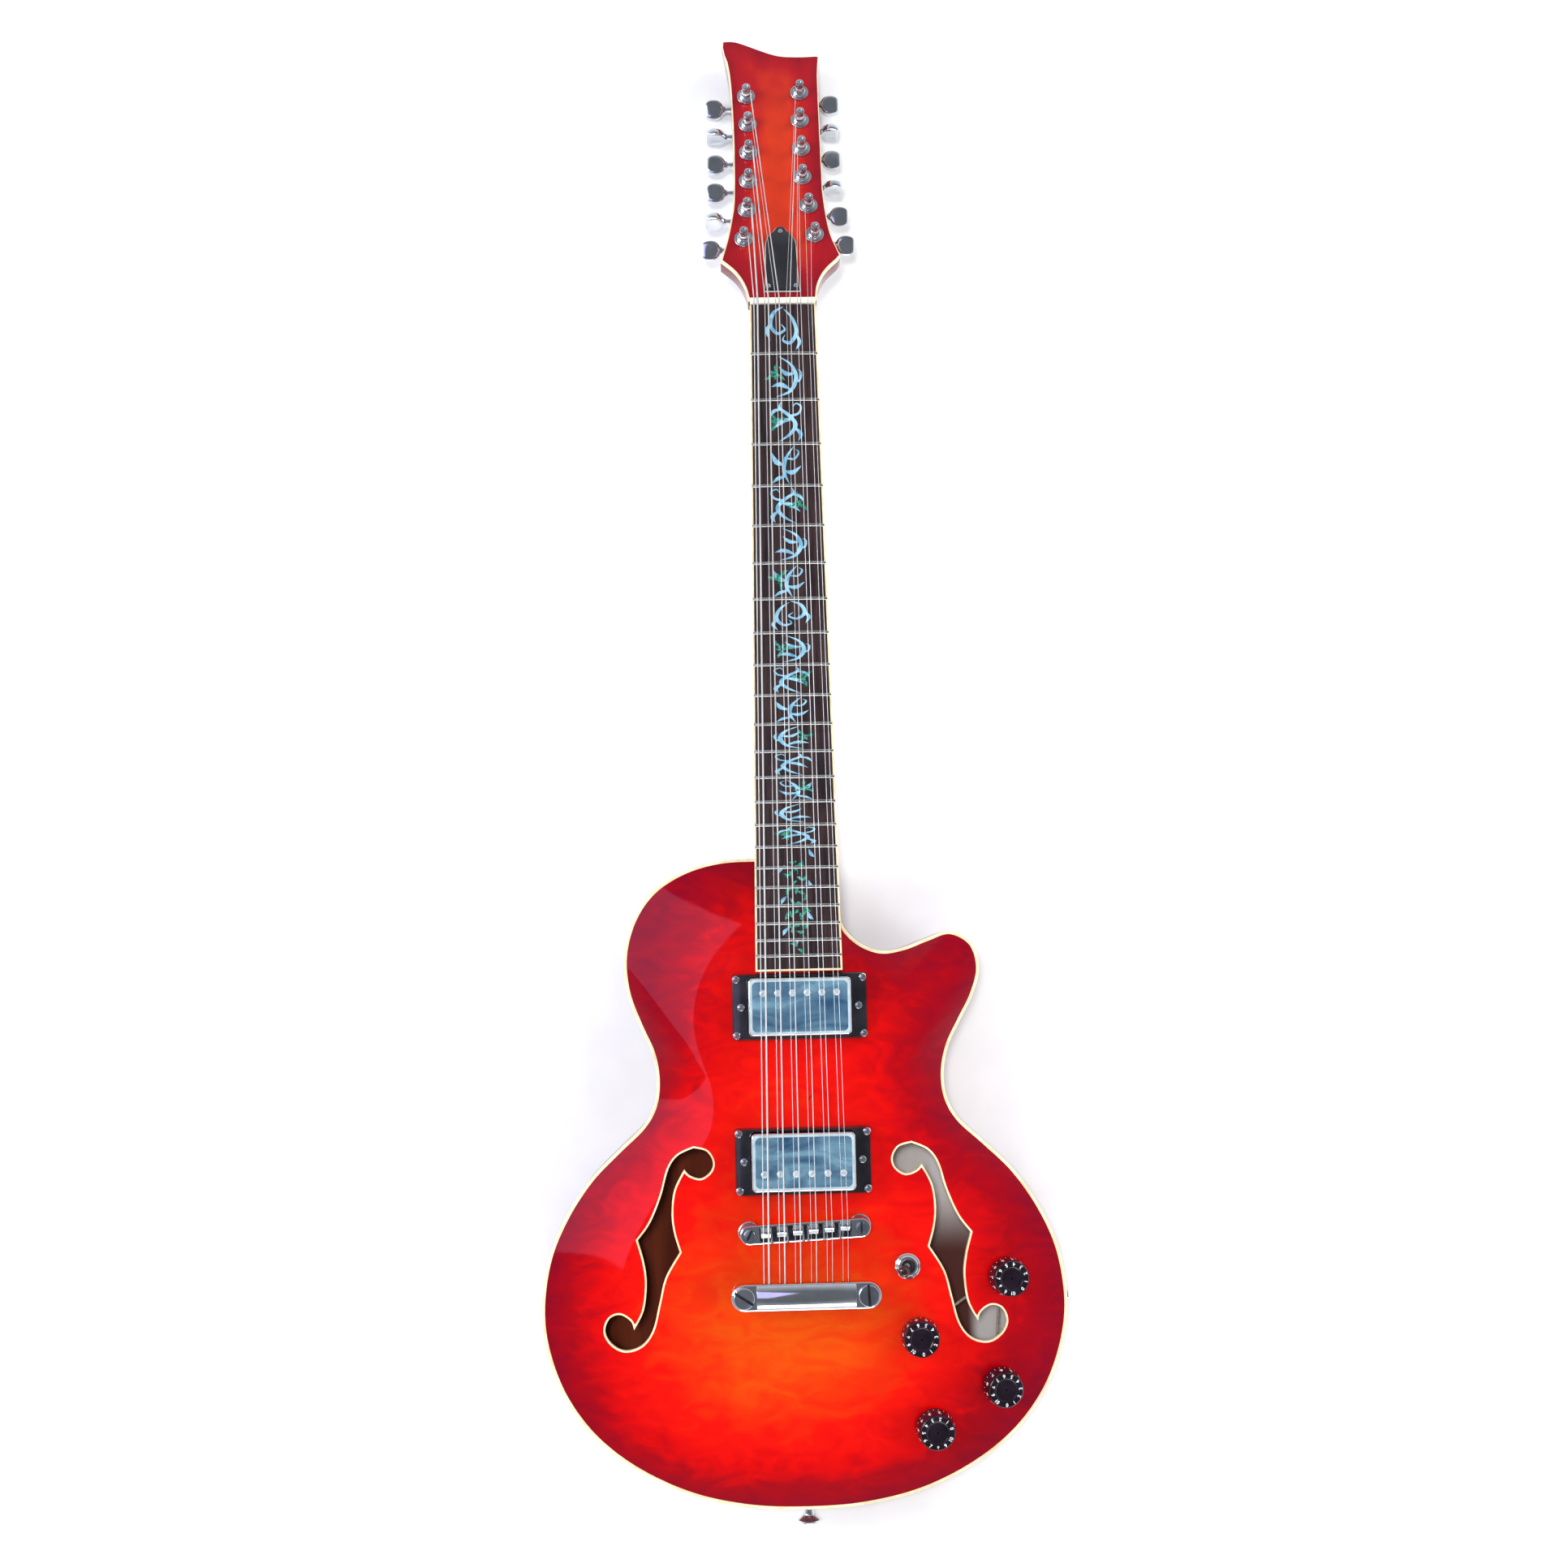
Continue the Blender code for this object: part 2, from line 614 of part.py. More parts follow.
def cut_body_openings(back, binding, top):
    """The neck pocket, the pickup cavities and the holes for studs, shafts and the jack."""
    pocket = solid("neck_pocket", *box(
        TENON_HALF_WIDTH + GAP, (TENON_END + GAP) / 2, -TENON_DEPTH - GAP, BOARD_THICKNESS,
        (0.0, -(TENON_END + GAP) / 2)), parent=neck_axis)
    cavities = [box(COVER_HALF[0] + 3 * GAP, COVER_HALF[1] + 3 * GAP, TOP_Z - CAVITY_DEPTH,
                    TOP_Z + TOP_THICKNESS, (0.0, y)) for _, y, _, _ in PICKUP_ROWS]
    studs = []
    for side in (-1, 1):
        pair = ((BRIDGE_STUD_RADIUS, *bridge_post(side)), (TAIL_STUD_SHANK, side * TAIL_STUD_X, TAIL_Y))
        for radius, x, y in pair:
            hole = turned([(radius + GAP, -STUD_DEPTH - GAP), (radius + GAP, TOP_THICKNESS)], TUNER_SIDES)
            studs.append(moved(hole, Matrix.Translation((x, y, TOP_Z))))
    wells = solid("cavity_cutter", *merge(*cavities, *studs))
    cut(back, pocket, wells)
    cut(binding, pocket)
    cut(top, pocket, wells)
    reach = 2 * TOP_THICKNESS
    drilled = [(POT_BUSHING_RADIUS, TUNER_SIDES, x, y) for _, x, y in KNOB_PLACES]
    drilled.append((SWITCH_RADIUS, SWITCH_SIDES, *SWITCH_PLACE))
    shafts = [moved(turned([(radius + GAP, -reach), (radius + GAP, reach)], sides), top_frame(x, y))
              for radius, sides, x, y in drilled]
    cut(top, solid("shaft_holes", *merge(*shafts)))
    jack_hole = turned([(JACK_BARREL_RADIUS + GAP, -4 * SIDE_THICKNESS),
                        (JACK_BARREL_RADIUS + GAP, SIDE_THICKNESS)], JACK_SIDES)
    end_hole = turned([(STRAP_SCREW_RADIUS + GAP, -STRAP_SCREW_LENGTH - GAP),
                       (STRAP_SCREW_RADIUS + GAP, SIDE_THICKNESS)], TUNER_SIDES)
    cut(back, solid("rim_holes", *merge(moved(jack_hole, JACK_FRAME), moved(end_hole, END_BUTTON_FRAME))))


def side_frame(x, y, z, heading):
    """A frame on the rim whose Z points out of the body along a heading in the XY plane."""
    out = Vector((math.cos(heading), math.sin(heading), 0.0))
    turn = out.to_track_quat("Z", "Y").to_matrix().to_4x4()
    return Matrix.Translation((x, y, z)) @ turn


def widest_at(y):
    """The body's half width at a height on the thin-string side."""
    best = 0.0
    for i, (xb, yb) in enumerate(OUTLINE):
        xa, ya = OUTLINE[i - 1]
        if min(ya, yb) <= y <= max(ya, yb) and ya != yb:
            best = max(best, xa + (y - ya) * (xb - xa) / (yb - ya))
    return best


JACK_FRAME = side_frame(widest_at(JACK_Y), JACK_Y, JACK_Z, 0.0)
END_BUTTON_FRAME = side_frame(BODY_END[0], BODY_END[1], RIM_HEIGHT / 2, -math.pi / 2)


def neck_ring(place, depth):
    """A D-shaped slice of the neck under the fretboard."""
    half = board_half_width(min(max(place, 0.0), BOARD_END))
    low = -BOARD_THICKNESS - GAP
    ring = []
    for i in range(NECK_SIDES + 1):
        angle = math.pi * i / NECK_SIDES
        ring.append((half * math.cos(angle), -place, low - depth * math.sin(angle) ** 0.8))
    return ring


def build_neck(rod_pocket):
    """The neck with its heel, tenon, headstock, tuner cases and bushings."""
    rings = [neck_ring(place, depth) for place, depth in NECK_STATIONS]
    rings.append(neck_ring(BOARD_END, NECK_STATIONS[-1][1]))
    neck = solid("neck", *loft(rings), LACQUER_RED, neck_axis)
    outer = inset(OUTLINE, -GAP)
    shoulder = [[(x, y, -RIM_HEIGHT) for x, y in outer]] + arch_rings(outer, GAP)
    cut(neck, solid("body_clearance", *loft(shoulder)))
    tenon = solid("neck_tenon", *box(
        TENON_HALF_WIDTH, (TENON_END - TENON_START) / 2, -TENON_DEPTH, -BOARD_THICKNESS - GAP * 2,
        (0.0, -(TENON_END + TENON_START) / 2)), parent=neck_axis)
    join(neck, tenon)
    head = solid("head_block", *prism(HEAD_OUTLINE, HEAD_BACK, -OVERLAY_THICKNESS - GAP), parent=head_axis)
    join(neck, head)
    nut_seat = solid("nut_seat", *box(
        2 * NUT_HALF_WIDTH, (HEAD_START + GAP) / 2, -BOARD_THICKNESS - GAP, NUT_HEIGHT,
        (0.0, (HEAD_START + GAP) / 2)), parent=neck_axis)
    cut(neck, nut_seat)
    cases, bushings, bores, worms = [], [], [], []
    middle_y = (CASE_OUTER - CASE_INNER) / 2
    reach = (CASE_OUTER + CASE_INNER) / 2
    for _, _, frame in TUNERS:
        full = rectangle(CASE_HALF_WIDTH, reach, (0.0, middle_y))
        slim = inset(full, BACK_EDGE_ROUNDING)
        cases.append(moved(loft([[(x, y, CASE_BOTTOM) for x, y in slim],
                                 [(x, y, CASE_BOTTOM + BACK_EDGE_ROUNDING) for x, y in full],
                                 [(x, y, HEAD_BACK + OVERLAY_THICKNESS) for x, y in full]]), frame))
        bushings.append(moved(turned([
            (BUSHING_RADIUS, HEAD_BACK + OVERLAY_THICKNESS), (BUSHING_RADIUS, GAP), (WASHER_RADIUS, GAP),
            (WASHER_RADIUS, WASHER_HEIGHT), (BUSHING_RADIUS, WASHER_HEIGHT + GAP),
            (BUSHING_RADIUS, BUSHING_HEIGHT)], TUNER_SIDES), frame))
        gear_top = WORM_Z + GEAR_THICKNESS / 2 + RUNNING
        gear_low = WORM_Z - GEAR_THICKNESS / 2 - RUNNING
        bores.append(moved(turned([
            (roomy(GEAR_RADIUS), gear_low), (roomy(GEAR_RADIUS), gear_top),
            (roomy(POST_RADIUS), gear_top), (roomy(POST_RADIUS), BUSHING_HEIGHT + GAP)],
            TUNER_SIDES), frame))
        worms.append(moved(moved(turned([
            (roomy(WORM_RADIUS), -CASE_HALF_WIDTH + BACK_EDGE_ROUNDING - RUNNING),
            (roomy(WORM_RADIUS), 2 * CASE_HALF_WIDTH)], TUNER_SIDES), WORM_PLACE), frame))
    join(neck, solid("tuner_cases", *merge(*cases), parent=head_axis))
    join(neck, solid("post_bushings", *merge(*bushings), parent=head_axis))
    cut(neck, solid("post_bores", *merge(*bores), parent=head_axis))
    cut(neck, solid("worm_bores", *merge(*worms), parent=head_axis))
    cut(neck, solid("rod_channel", *box(
        ROD_RADIUS + GAP, (ROD_END + GAP) / 2, ROD_Z - ROD_RADIUS - GAP, BOARD_THICKNESS,
        (0.0, -(ROD_END + GAP) / 2)), parent=neck_axis))
    cut(neck, solid("rod_bore", *turned([
        (ROD_RADIUS + GAP, -GAP), (ROD_RADIUS + GAP, ROD_NUT_START + GAP)], TUNER_SIDES),
        parent=neck_axis, place=ROD_PLACE))
    cut(neck, rod_pocket)
    cut(neck, solid("heel_screw_hole", *moved(turned([
        (STRAP_SCREW_RADIUS + GAP, -STRAP_SCREW_LENGTH - GAP), (STRAP_SCREW_RADIUS + GAP, SIDE_THICKNESS)],
        TUNER_SIDES), HEEL_BUTTON_FRAME)))


WORM_PLACE = Matrix.Translation((0.0, WORM_OFFSET, WORM_Z)) @ Matrix.Rotation(math.pi / 2, 4, "Y")
ROD_Z = -BOARD_THICKNESS - GAP - ROD_COVERING - ROD_RADIUS
ROD_PLACE = Matrix.Translation((0.0, 0.0, ROD_Z)) @ Matrix.Rotation(-math.pi / 2, 4, "X")
HEEL_HIGH, HEEL_LOW = [Vector((0.0, -place, -BOARD_THICKNESS - GAP - depth))
                       for place, depth in NECK_STATIONS[5:7]]
HEEL_SLOPE = HEEL_LOW - HEEL_HIGH
HEEL_TURN = Vector((0.0, -HEEL_SLOPE.z, HEEL_SLOPE.y)).to_track_quat("Z", "Y").to_matrix().to_4x4()
HEEL_BUTTON_FRAME = NECK_FRAME @ Matrix.Translation((HEEL_HIGH + HEEL_LOW) / 2) @ HEEL_TURN


def build_fretboard():
    """The rounded fretboard with its frets pressed in."""
    stations = [(0.0, 0.0)]
    for number in range(1, FRET_COUNT + 1):
        place = fret_place(number)
        stations += [(place - FRET_HALF_WIDTH, 0.0), (place - FRET_CROWN_HALF_WIDTH, FRET_HEIGHT),
                     (place + FRET_CROWN_HALF_WIDTH, FRET_HEIGHT), (place + FRET_HALF_WIDTH, 0.0)]
    stations.append((BOARD_END, 0.0))
    rings = []
    for place, lift in stations:
        half = board_half_width(place)
        edge = half - BOARD_EDGE_MARGIN
        across = [-half, -edge, -half / 2.2, 0.0, half / 2.2, edge, half]
        ring = [(half, -place, -BOARD_THICKNESS), (-half, -place, -BOARD_THICKNESS)]
        for x in across:
            height = lift if abs(x) < half else 0.0
            ring.append((x, -place, height - crown(x)))
        rings.append(ring)
    solid("fretboard", *loft(rings), ROSEWOOD, neck_axis)


def build_nut():
    """The slotted nut between fretboard and headstock."""
    half = NUT_HALF_WIDTH - GAP
    back = GAP + NUT_THICKNESS
    low = -BOARD_THICKNESS
    rings = []
    for x in (-half, -half / 2, 0.0, half / 2, half):
        top = NUT_HEIGHT - crown(x)
        rings.append([(x, GAP, low), (x, GAP, top), (x, back, top - NUT_THICKNESS / 4), (x, back, low)])
    nut = solid("nut", *loft(rings), BONE, neck_axis)
    slots = []
    for index, diameter in enumerate(STRING_DIAMETERS):
        x = string_x(index, COURSE_PITCH_NUT, PAIR_SPREAD_NUT)
        floor = STRING_HEIGHT_NUT - crown(x) - diameter / 2 - GAP
        slots.append(box(diameter / 2 + GAP, NUT_THICKNESS, floor, 2 * NUT_HEIGHT, (x, back / 2)))
    cut(nut, solid("nut_slots", *merge(*slots), parent=neck_axis))


def build_headstock_face(rod_pocket):
    """The veneer on the headstock and the cover over the truss rod's nut."""
    overlay = solid("headstock_overlay", *prism(HEAD_OUTLINE, -OVERLAY_THICKNESS, 0.0), HEAD_RED, head_axis)
    hole = turned([(BUSHING_RADIUS + GAP, -2 * OVERLAY_THICKNESS), (BUSHING_RADIUS + GAP, OVERLAY_THICKNESS)],
                  TUNER_SIDES)
    holes = [moved(hole, frame) for _, _, frame in TUNERS]
    cut(overlay, solid("overlay_holes", *merge(*holes), parent=head_axis))
    cut(overlay, rod_pocket)
    solid("truss_rod_cover", *prism(COVER_OUTLINE[::-1], GAP, GAP + COVER_THICKNESS), BLACK, head_axis)


def build_truss_rod():
    """The steel rod under the fretboard, with its nut under the cover."""
    shape = turned([(ROD_RADIUS, -ROD_END), (ROD_RADIUS, ROD_NUT_START), (ROD_NUT_RADIUS, ROD_NUT_START),
                    (ROD_NUT_RADIUS, ROD_NUT_START + ROD_NUT_LENGTH)], 8)
    solid("truss_rod", *shape, ROD_STEEL, neck_axis, ROD_PLACE)


ROUND_SHARE = math.tan(math.pi / 8)


def chamfered(half_wide, half_thick, share):
    """Eight points of a flat bar with its corners taken off."""
    a, b = half_wide, half_thick
    c, d = a * share, b * share
    return [(a, d), (c, b), (-c, b), (-a, d), (-a, -d), (-c, -b), (c, -b), (a, -d)]


def build_tuners():
    """Each tuner's worm shaft with its button, and its post with the gear."""
    side_names = ("bass", "treble")
    for side, row, frame in TUNERS:
        label = side_names[side] + "_" + str(row + 1)
        start = BUTTON_START
        length = BUTTON_LENGTH
        wide, thick = BUTTON_HALF_WIDTH, BUTTON_HALF_THICKNESS
        flat = WORM_RADIUS * math.cos(math.pi / 8)
        stations = [
            (-CASE_HALF_WIDTH + BACK_EDGE_ROUNDING, flat, flat, ROUND_SHARE),
            (CASE_HALF_WIDTH + WORM_RADIUS, flat, flat, ROUND_SHARE),
            (CASE_HALF_WIDTH + WORM_RADIUS, 1.3 * flat, 1.3 * flat, ROUND_SHARE),
            (start, 1.2 * flat, 1.2 * flat, ROUND_SHARE),
            (start + 0.08 * length, 0.52 * wide, 0.8 * thick, 0.6),
            (start + 0.36 * length, 0.94 * wide, thick, 0.75),
            (start + 0.62 * length, wide, thick, 0.75),
            (start + 0.94 * length, 0.78 * wide, thick, 0.75),
            (start + length, 0.66 * wide, 0.6 * thick, 0.75),
        ]
        rings = [[(u, v, w) for v, w in chamfered(a, b, share)] for u, a, b, share in stations]
        turn = Matrix.Rotation(math.radians(BUTTON_TURNS[side][row]), 4, "X")
        place = frame @ Matrix.Translation((0.0, WORM_OFFSET, WORM_Z))
        points, faces = moved(loft(rings), place.to_3x3().to_4x4() @ turn)
        solid("tuner_button_" + label, points, faces, CHROME, head_axis,
              Matrix.Translation(place.to_translation()))
        gear_top = WORM_Z + GEAR_THICKNESS / 2
        gear_low = WORM_Z - GEAR_THICKNESS / 2
        profile = [
            (GEAR_RADIUS, gear_low), (GEAR_RADIUS, gear_top), (POST_RADIUS, gear_top),
            (POST_RADIUS, BUSHING_HEIGHT + GAP), (POST_WAIST_RADIUS, POST_WAIST_LOW),
            (POST_WAIST_RADIUS, POST_WAIST_HIGH), (POST_RADIUS, POST_WAIST_HIGH + POST_WAIST_RADIUS / 3),
            (POST_RADIUS, POST_HEIGHT - POST_WAIST_RADIUS / 4), (POST_WAIST_RADIUS, POST_HEIGHT),
        ]
        solid("tuner_post_" + label, *turned(profile, TUNER_SIDES), CHROME, head_axis,
              Matrix.Translation(frame.to_translation()))


def build_pickups():
    """Each pickup: its cover and body hanging in its ring."""
    for name, y, ring_height, string_gap in PICKUP_ROWS:
        low = TOP_Z + GAP
        reach = BOARD_END + (BOARD_END_Y - y) / math.cos(NECK_ANGLE)
        cover_top = (NECK_FRAME @ Vector((0.0, -reach, string_line_height(reach)))).z - string_gap
        place = Matrix.Translation((0.0, y, 0.0))
        outer = rounded_rectangle(*RING_HALF, RING_CORNER)
        inner = rounded_rectangle(COVER_HALF[0] + 2 * GAP, COVER_HALF[1] + 2 * GAP, COVER_CORNER)
        high = low + ring_height
        rings = [[(a, b, z) for a, b in outline] for outline, z in (
            (outer, low), (inset(outer, RING_CORNER / 4), high), (inner, high), (inner, low))]
        solid("pickup_ring_" + name, *loop(rings), BLACK, None, place)
        cover = rounded_rectangle(*COVER_HALF, COVER_CORNER)
        soft = COVER_CORNER / 3
        rings = [[(a, b, z) for a, b in outline] for outline, z in (
            (cover, cover_top - PICKUP_DEPTH), (cover, cover_top - soft), (inset(cover, soft), cover_top))]
        solid("pickup_" + name, *loft(rings), CHROME, None, place)


def string_line_height(place):
    """Height of the string centres above the fretboard plane, on the centre line."""
    share = place / SCALE_LENGTH
    return STRING_HEIGHT_NUT + (STRING_HEIGHT_SADDLE - STRING_HEIGHT_NUT) * share


def saddle_place(index):
    """Where a string crosses its saddle, as a distance from the nut: the thick ones lie further back."""
    course = index // 2
    return SCALE_LENGTH + COMPENSATION_FIRST + (5 - course) * COMPENSATION_STEP


def saddle_point(index):
    x = string_x(index, COURSE_PITCH_SADDLE, PAIR_SPREAD_SADDLE)
    place = saddle_place(index)
    return NECK_FRAME @ Vector((x, -place, string_line_height(place) - crown(x)))


def build_bridge():
    """The bridge bar on its two posts with thumbwheels, carrying six saddles for twelve strings."""
    middle = saddle_point(5)
    deck = middle.z - SADDLE_RISE
    bar = solid("bridge", *loft([[(x, y, z) for x, y in capsule(BRIDGE_POST_X, half)] for z, half in (
        (deck - BRIDGE_THICKNESS, BRIDGE_HALF_WIDTH), (deck - BRIDGE_EDGE, BRIDGE_HALF_WIDTH),
        (deck, BRIDGE_HALF_WIDTH - BRIDGE_EDGE))]), CHROME, None,
        Matrix.Translation((0.0, BRIDGE_Y, 0.0)) @ Matrix.Rotation(BRIDGE_SLANT, 4, "Z"))
    posts = []
    wheel_low = TOP_Z + GAP
    for side in (-1, 1):
        place = Matrix.Translation((*bridge_post(side), 0.0))
        posts.append(moved(turned([
            (BRIDGE_STUD_RADIUS, TOP_Z - STUD_DEPTH), (BRIDGE_STUD_RADIUS, wheel_low),
            (THUMBWHEEL_RADIUS, wheel_low), (THUMBWHEEL_RADIUS, wheel_low + THUMBWHEEL_THICKNESS),
            (BRIDGE_STUD_RADIUS, wheel_low + THUMBWHEEL_THICKNESS), (BRIDGE_STUD_RADIUS, deck + BRIDGE_EDGE)],
            TUNER_SIDES), place))
    join(bar, solid("bridge_posts", *merge(*posts)))
    saddles = []
    for course in range(6):
        pair = [saddle_point(2 * course), saddle_point(2 * course + 1)]
        centre = (pair[0] + pair[1]) / 2
        thickest = max(STRING_DIAMETERS[2 * course:2 * course + 2])
        top = min(p.z for p in pair) - thickest / 2 - GAP
        wide = SADDLE_HALF_WIDTH
        long = SADDLE_HALF_LENGTH
        x, y = centre.x, centre.y
        low = deck - BRIDGE_EDGE
        shoulder = top - SADDLE_SHOULDER
        crest = SADDLE_CREST / 2
        side_view = [(-long, low), (long, low), (long, shoulder),
                     (crest, top), (-crest, top), (-long, shoulder)]
        saddles.append(loft([[(x + side * wide, y + a, z) for a, z in side_view] for side in (-1, 1)]))
    join(bar, solid("saddles", *merge(*saddles)))


def capsule(half_length, half_width, steps=5):
    """A bar's outline with round ends."""
    outline = []
    for side, start in ((1, -math.pi / 2), (-1, math.pi / 2)):
        for i in range(steps + 1):
            angle = start + math.pi * i / steps
            outline.append((side * half_length + half_width * math.cos(angle), half_width * math.sin(angle)))
    return outline


def tail_hole_point(index):
    x = string_x(index, COURSE_PITCH_SADDLE, PAIR_SPREAD_SADDLE)
    return Vector((x, TAIL_Y + TAIL_HALF_WIDTH, TOP_Z + TAIL_HEIGHT - TAIL_HOLE_DROP))


def build_tailpiece():
    """The stop bar that holds the ball ends, with its two studs."""
    high = TOP_Z + TAIL_HEIGHT
    low = high - TAIL_THICKNESS
    body = capsule(TAIL_HALF_LENGTH - TAIL_HALF_WIDTH, TAIL_HALF_WIDTH)
    soft = TAIL_HALF_WIDTH / 4
    rings = [[(x, y, z) for x, y in outline] for outline, z in (
        (inset(body, soft), low), (body, low + soft), (body, high - 1.4 * soft), (inset(body, soft), high))]
    bar = solid("tailpiece", *loft(rings), CHROME, None, Matrix.Translation((0.0, TAIL_Y, 0.0)))
    studs = [moved(turned([
        (TAIL_STUD_SHANK, TOP_Z - STUD_DEPTH), (TAIL_STUD_SHANK, TOP_Z + GAP), (TAIL_STUD_RADIUS, TOP_Z + GAP),
        (TAIL_STUD_RADIUS, TOP_Z + TAIL_STUD_SHANK / 2), (TAIL_STUD_SHANK, TOP_Z + TAIL_STUD_SHANK / 2),
        (TAIL_STUD_SHANK, low + soft), (TAIL_STUD_RADIUS, low + soft),
        (TAIL_STUD_RADIUS, high + soft / 3), (0.9 * TAIL_STUD_RADIUS, high + soft / 2)], 12),
        Matrix.Translation((side * TAIL_STUD_X, TAIL_Y, 0.0))) for side in (-1, 1)]
    join(bar, solid("tail_studs", *merge(*studs)))
    holes = []
    for index in range(12):
        hole = turned([(TAIL_HOLE_RADIUS, -TAIL_HOLE_DEPTH), (TAIL_HOLE_RADIUS, TAIL_HALF_WIDTH)], 6)
        aim = saddle_point(index) - tail_hole_point(index)
        place = Matrix.Translation(tail_hole_point(index)) @ aim.to_track_quat("Z", "Y").to_matrix().to_4x4()
        holes.append(moved(hole, place))
    cut(bar, solid("ball_holes", *merge(*holes)))


def build_strings():
    """Each string as one tube from the tailpiece over saddle and nut to a turn round its post."""
    inverse_head = HEAD_FRAME.inverted()
    for index, diameter in enumerate(STRING_DIAMETERS):
        radius = diameter / 2
        saddle = saddle_point(index)
        hole = tail_hole_point(index)
        aim = (saddle - hole).normalized()
        nut_x = string_x(index, COURSE_PITCH_NUT, PAIR_SPREAD_NUT)
        nut_height = STRING_HEIGHT_NUT - crown(nut_x)
        nut_front = NECK_FRAME @ Vector((nut_x, 0.0, nut_height))
        nut_back = NECK_FRAME @ Vector((nut_x, NUT_THICKNESS, nut_height - radius / 3))
        side = 0 if index < 6 else 1
        row = index if side == 0 else 11 - index
        post = Vector((POST_ROWS[side][row], POST_FIRST[side] + row * POST_PITCH, 0.0))
        wrap = POST_WAIST_RADIUS + GAP + radius
        spin = 1.0 if side == 0 else -1.0
        start = inverse_head @ nut_back
        reach = (Vector((start.x, start.y)) - Vector((post.x, post.y))).length
        toward = math.atan2(start.y - post.y, start.x - post.x)
        first = toward + spin * math.acos(wrap / reach)
        turns = []
        for step in range(WRAP_STEPS):
            angle = first + spin * WRAP_TURN * step
            height = POST_WAIST_HIGH - radius - WRAP_DROP * (step + 1)
            around = (post.x + wrap * math.cos(angle), post.y + wrap * math.sin(angle), height)
            turns.append(HEAD_FRAME @ Vector(around))
        path = [hole - aim * (TAIL_HOLE_DEPTH - GAP * 3), saddle, nut_front, nut_back, *turns]
        curve = bpy.data.curves.new("string_" + str(index + 1), "CURVE")
        curve.dimensions = "3D"
        curve.bevel_depth = radius
        curve.bevel_resolution = 1
        curve.use_fill_caps = True
        spline = curve.splines.new("POLY")
        spline.points.add(len(path) - 1)
        for point, place in zip(spline.points, path):
            point.co = (*place, 1.0)
        curve.materials.append(STEEL)
        obj = bpy.data.objects.new("string_" + str(index + 1), curve)
        bpy.context.collection.objects.link(obj)


def build_knobs():
    """The four knobs, each pressed on the split shaft of its potentiometer."""
    for name, x, y in KNOB_PLACES:
        base = KNOB_LIFT
        shape = turned([
            (0.92 * KNOB_RADIUS, base), (KNOB_RADIUS, base + KNOB_LIFT), (KNOB_RADIUS, base + 3 * KNOB_LIFT),
            (KNOB_TOP_RADIUS, base + KNOB_HEIGHT - KNOB_LIFT),
            (0.94 * KNOB_TOP_RADIUS, base + KNOB_HEIGHT)], KNOB_SIDES)
        frame = top_frame(x, y)
        knob = solid("knob_" + name, *shape, BLACK, None, frame)
        room = POT_BUSHING_RADIUS + KNOB_LIFT
        hollow = turned([(room, base - KNOB_LIFT), (room, POT_NUT_HEIGHT + KNOB_LIFT)], TUNER_SIDES)
        cut(knob, solid("knob_hollow_" + name, *moved(hollow, frame)))
        shaft = turned([(SHAFT_RADIUS, -TOP_THICKNESS), (SHAFT_RADIUS, KNOB_BORE_DEPTH)], TUNER_SIDES)
        join(knob, solid("knob_shaft_" + name, *moved(shaft, frame)))


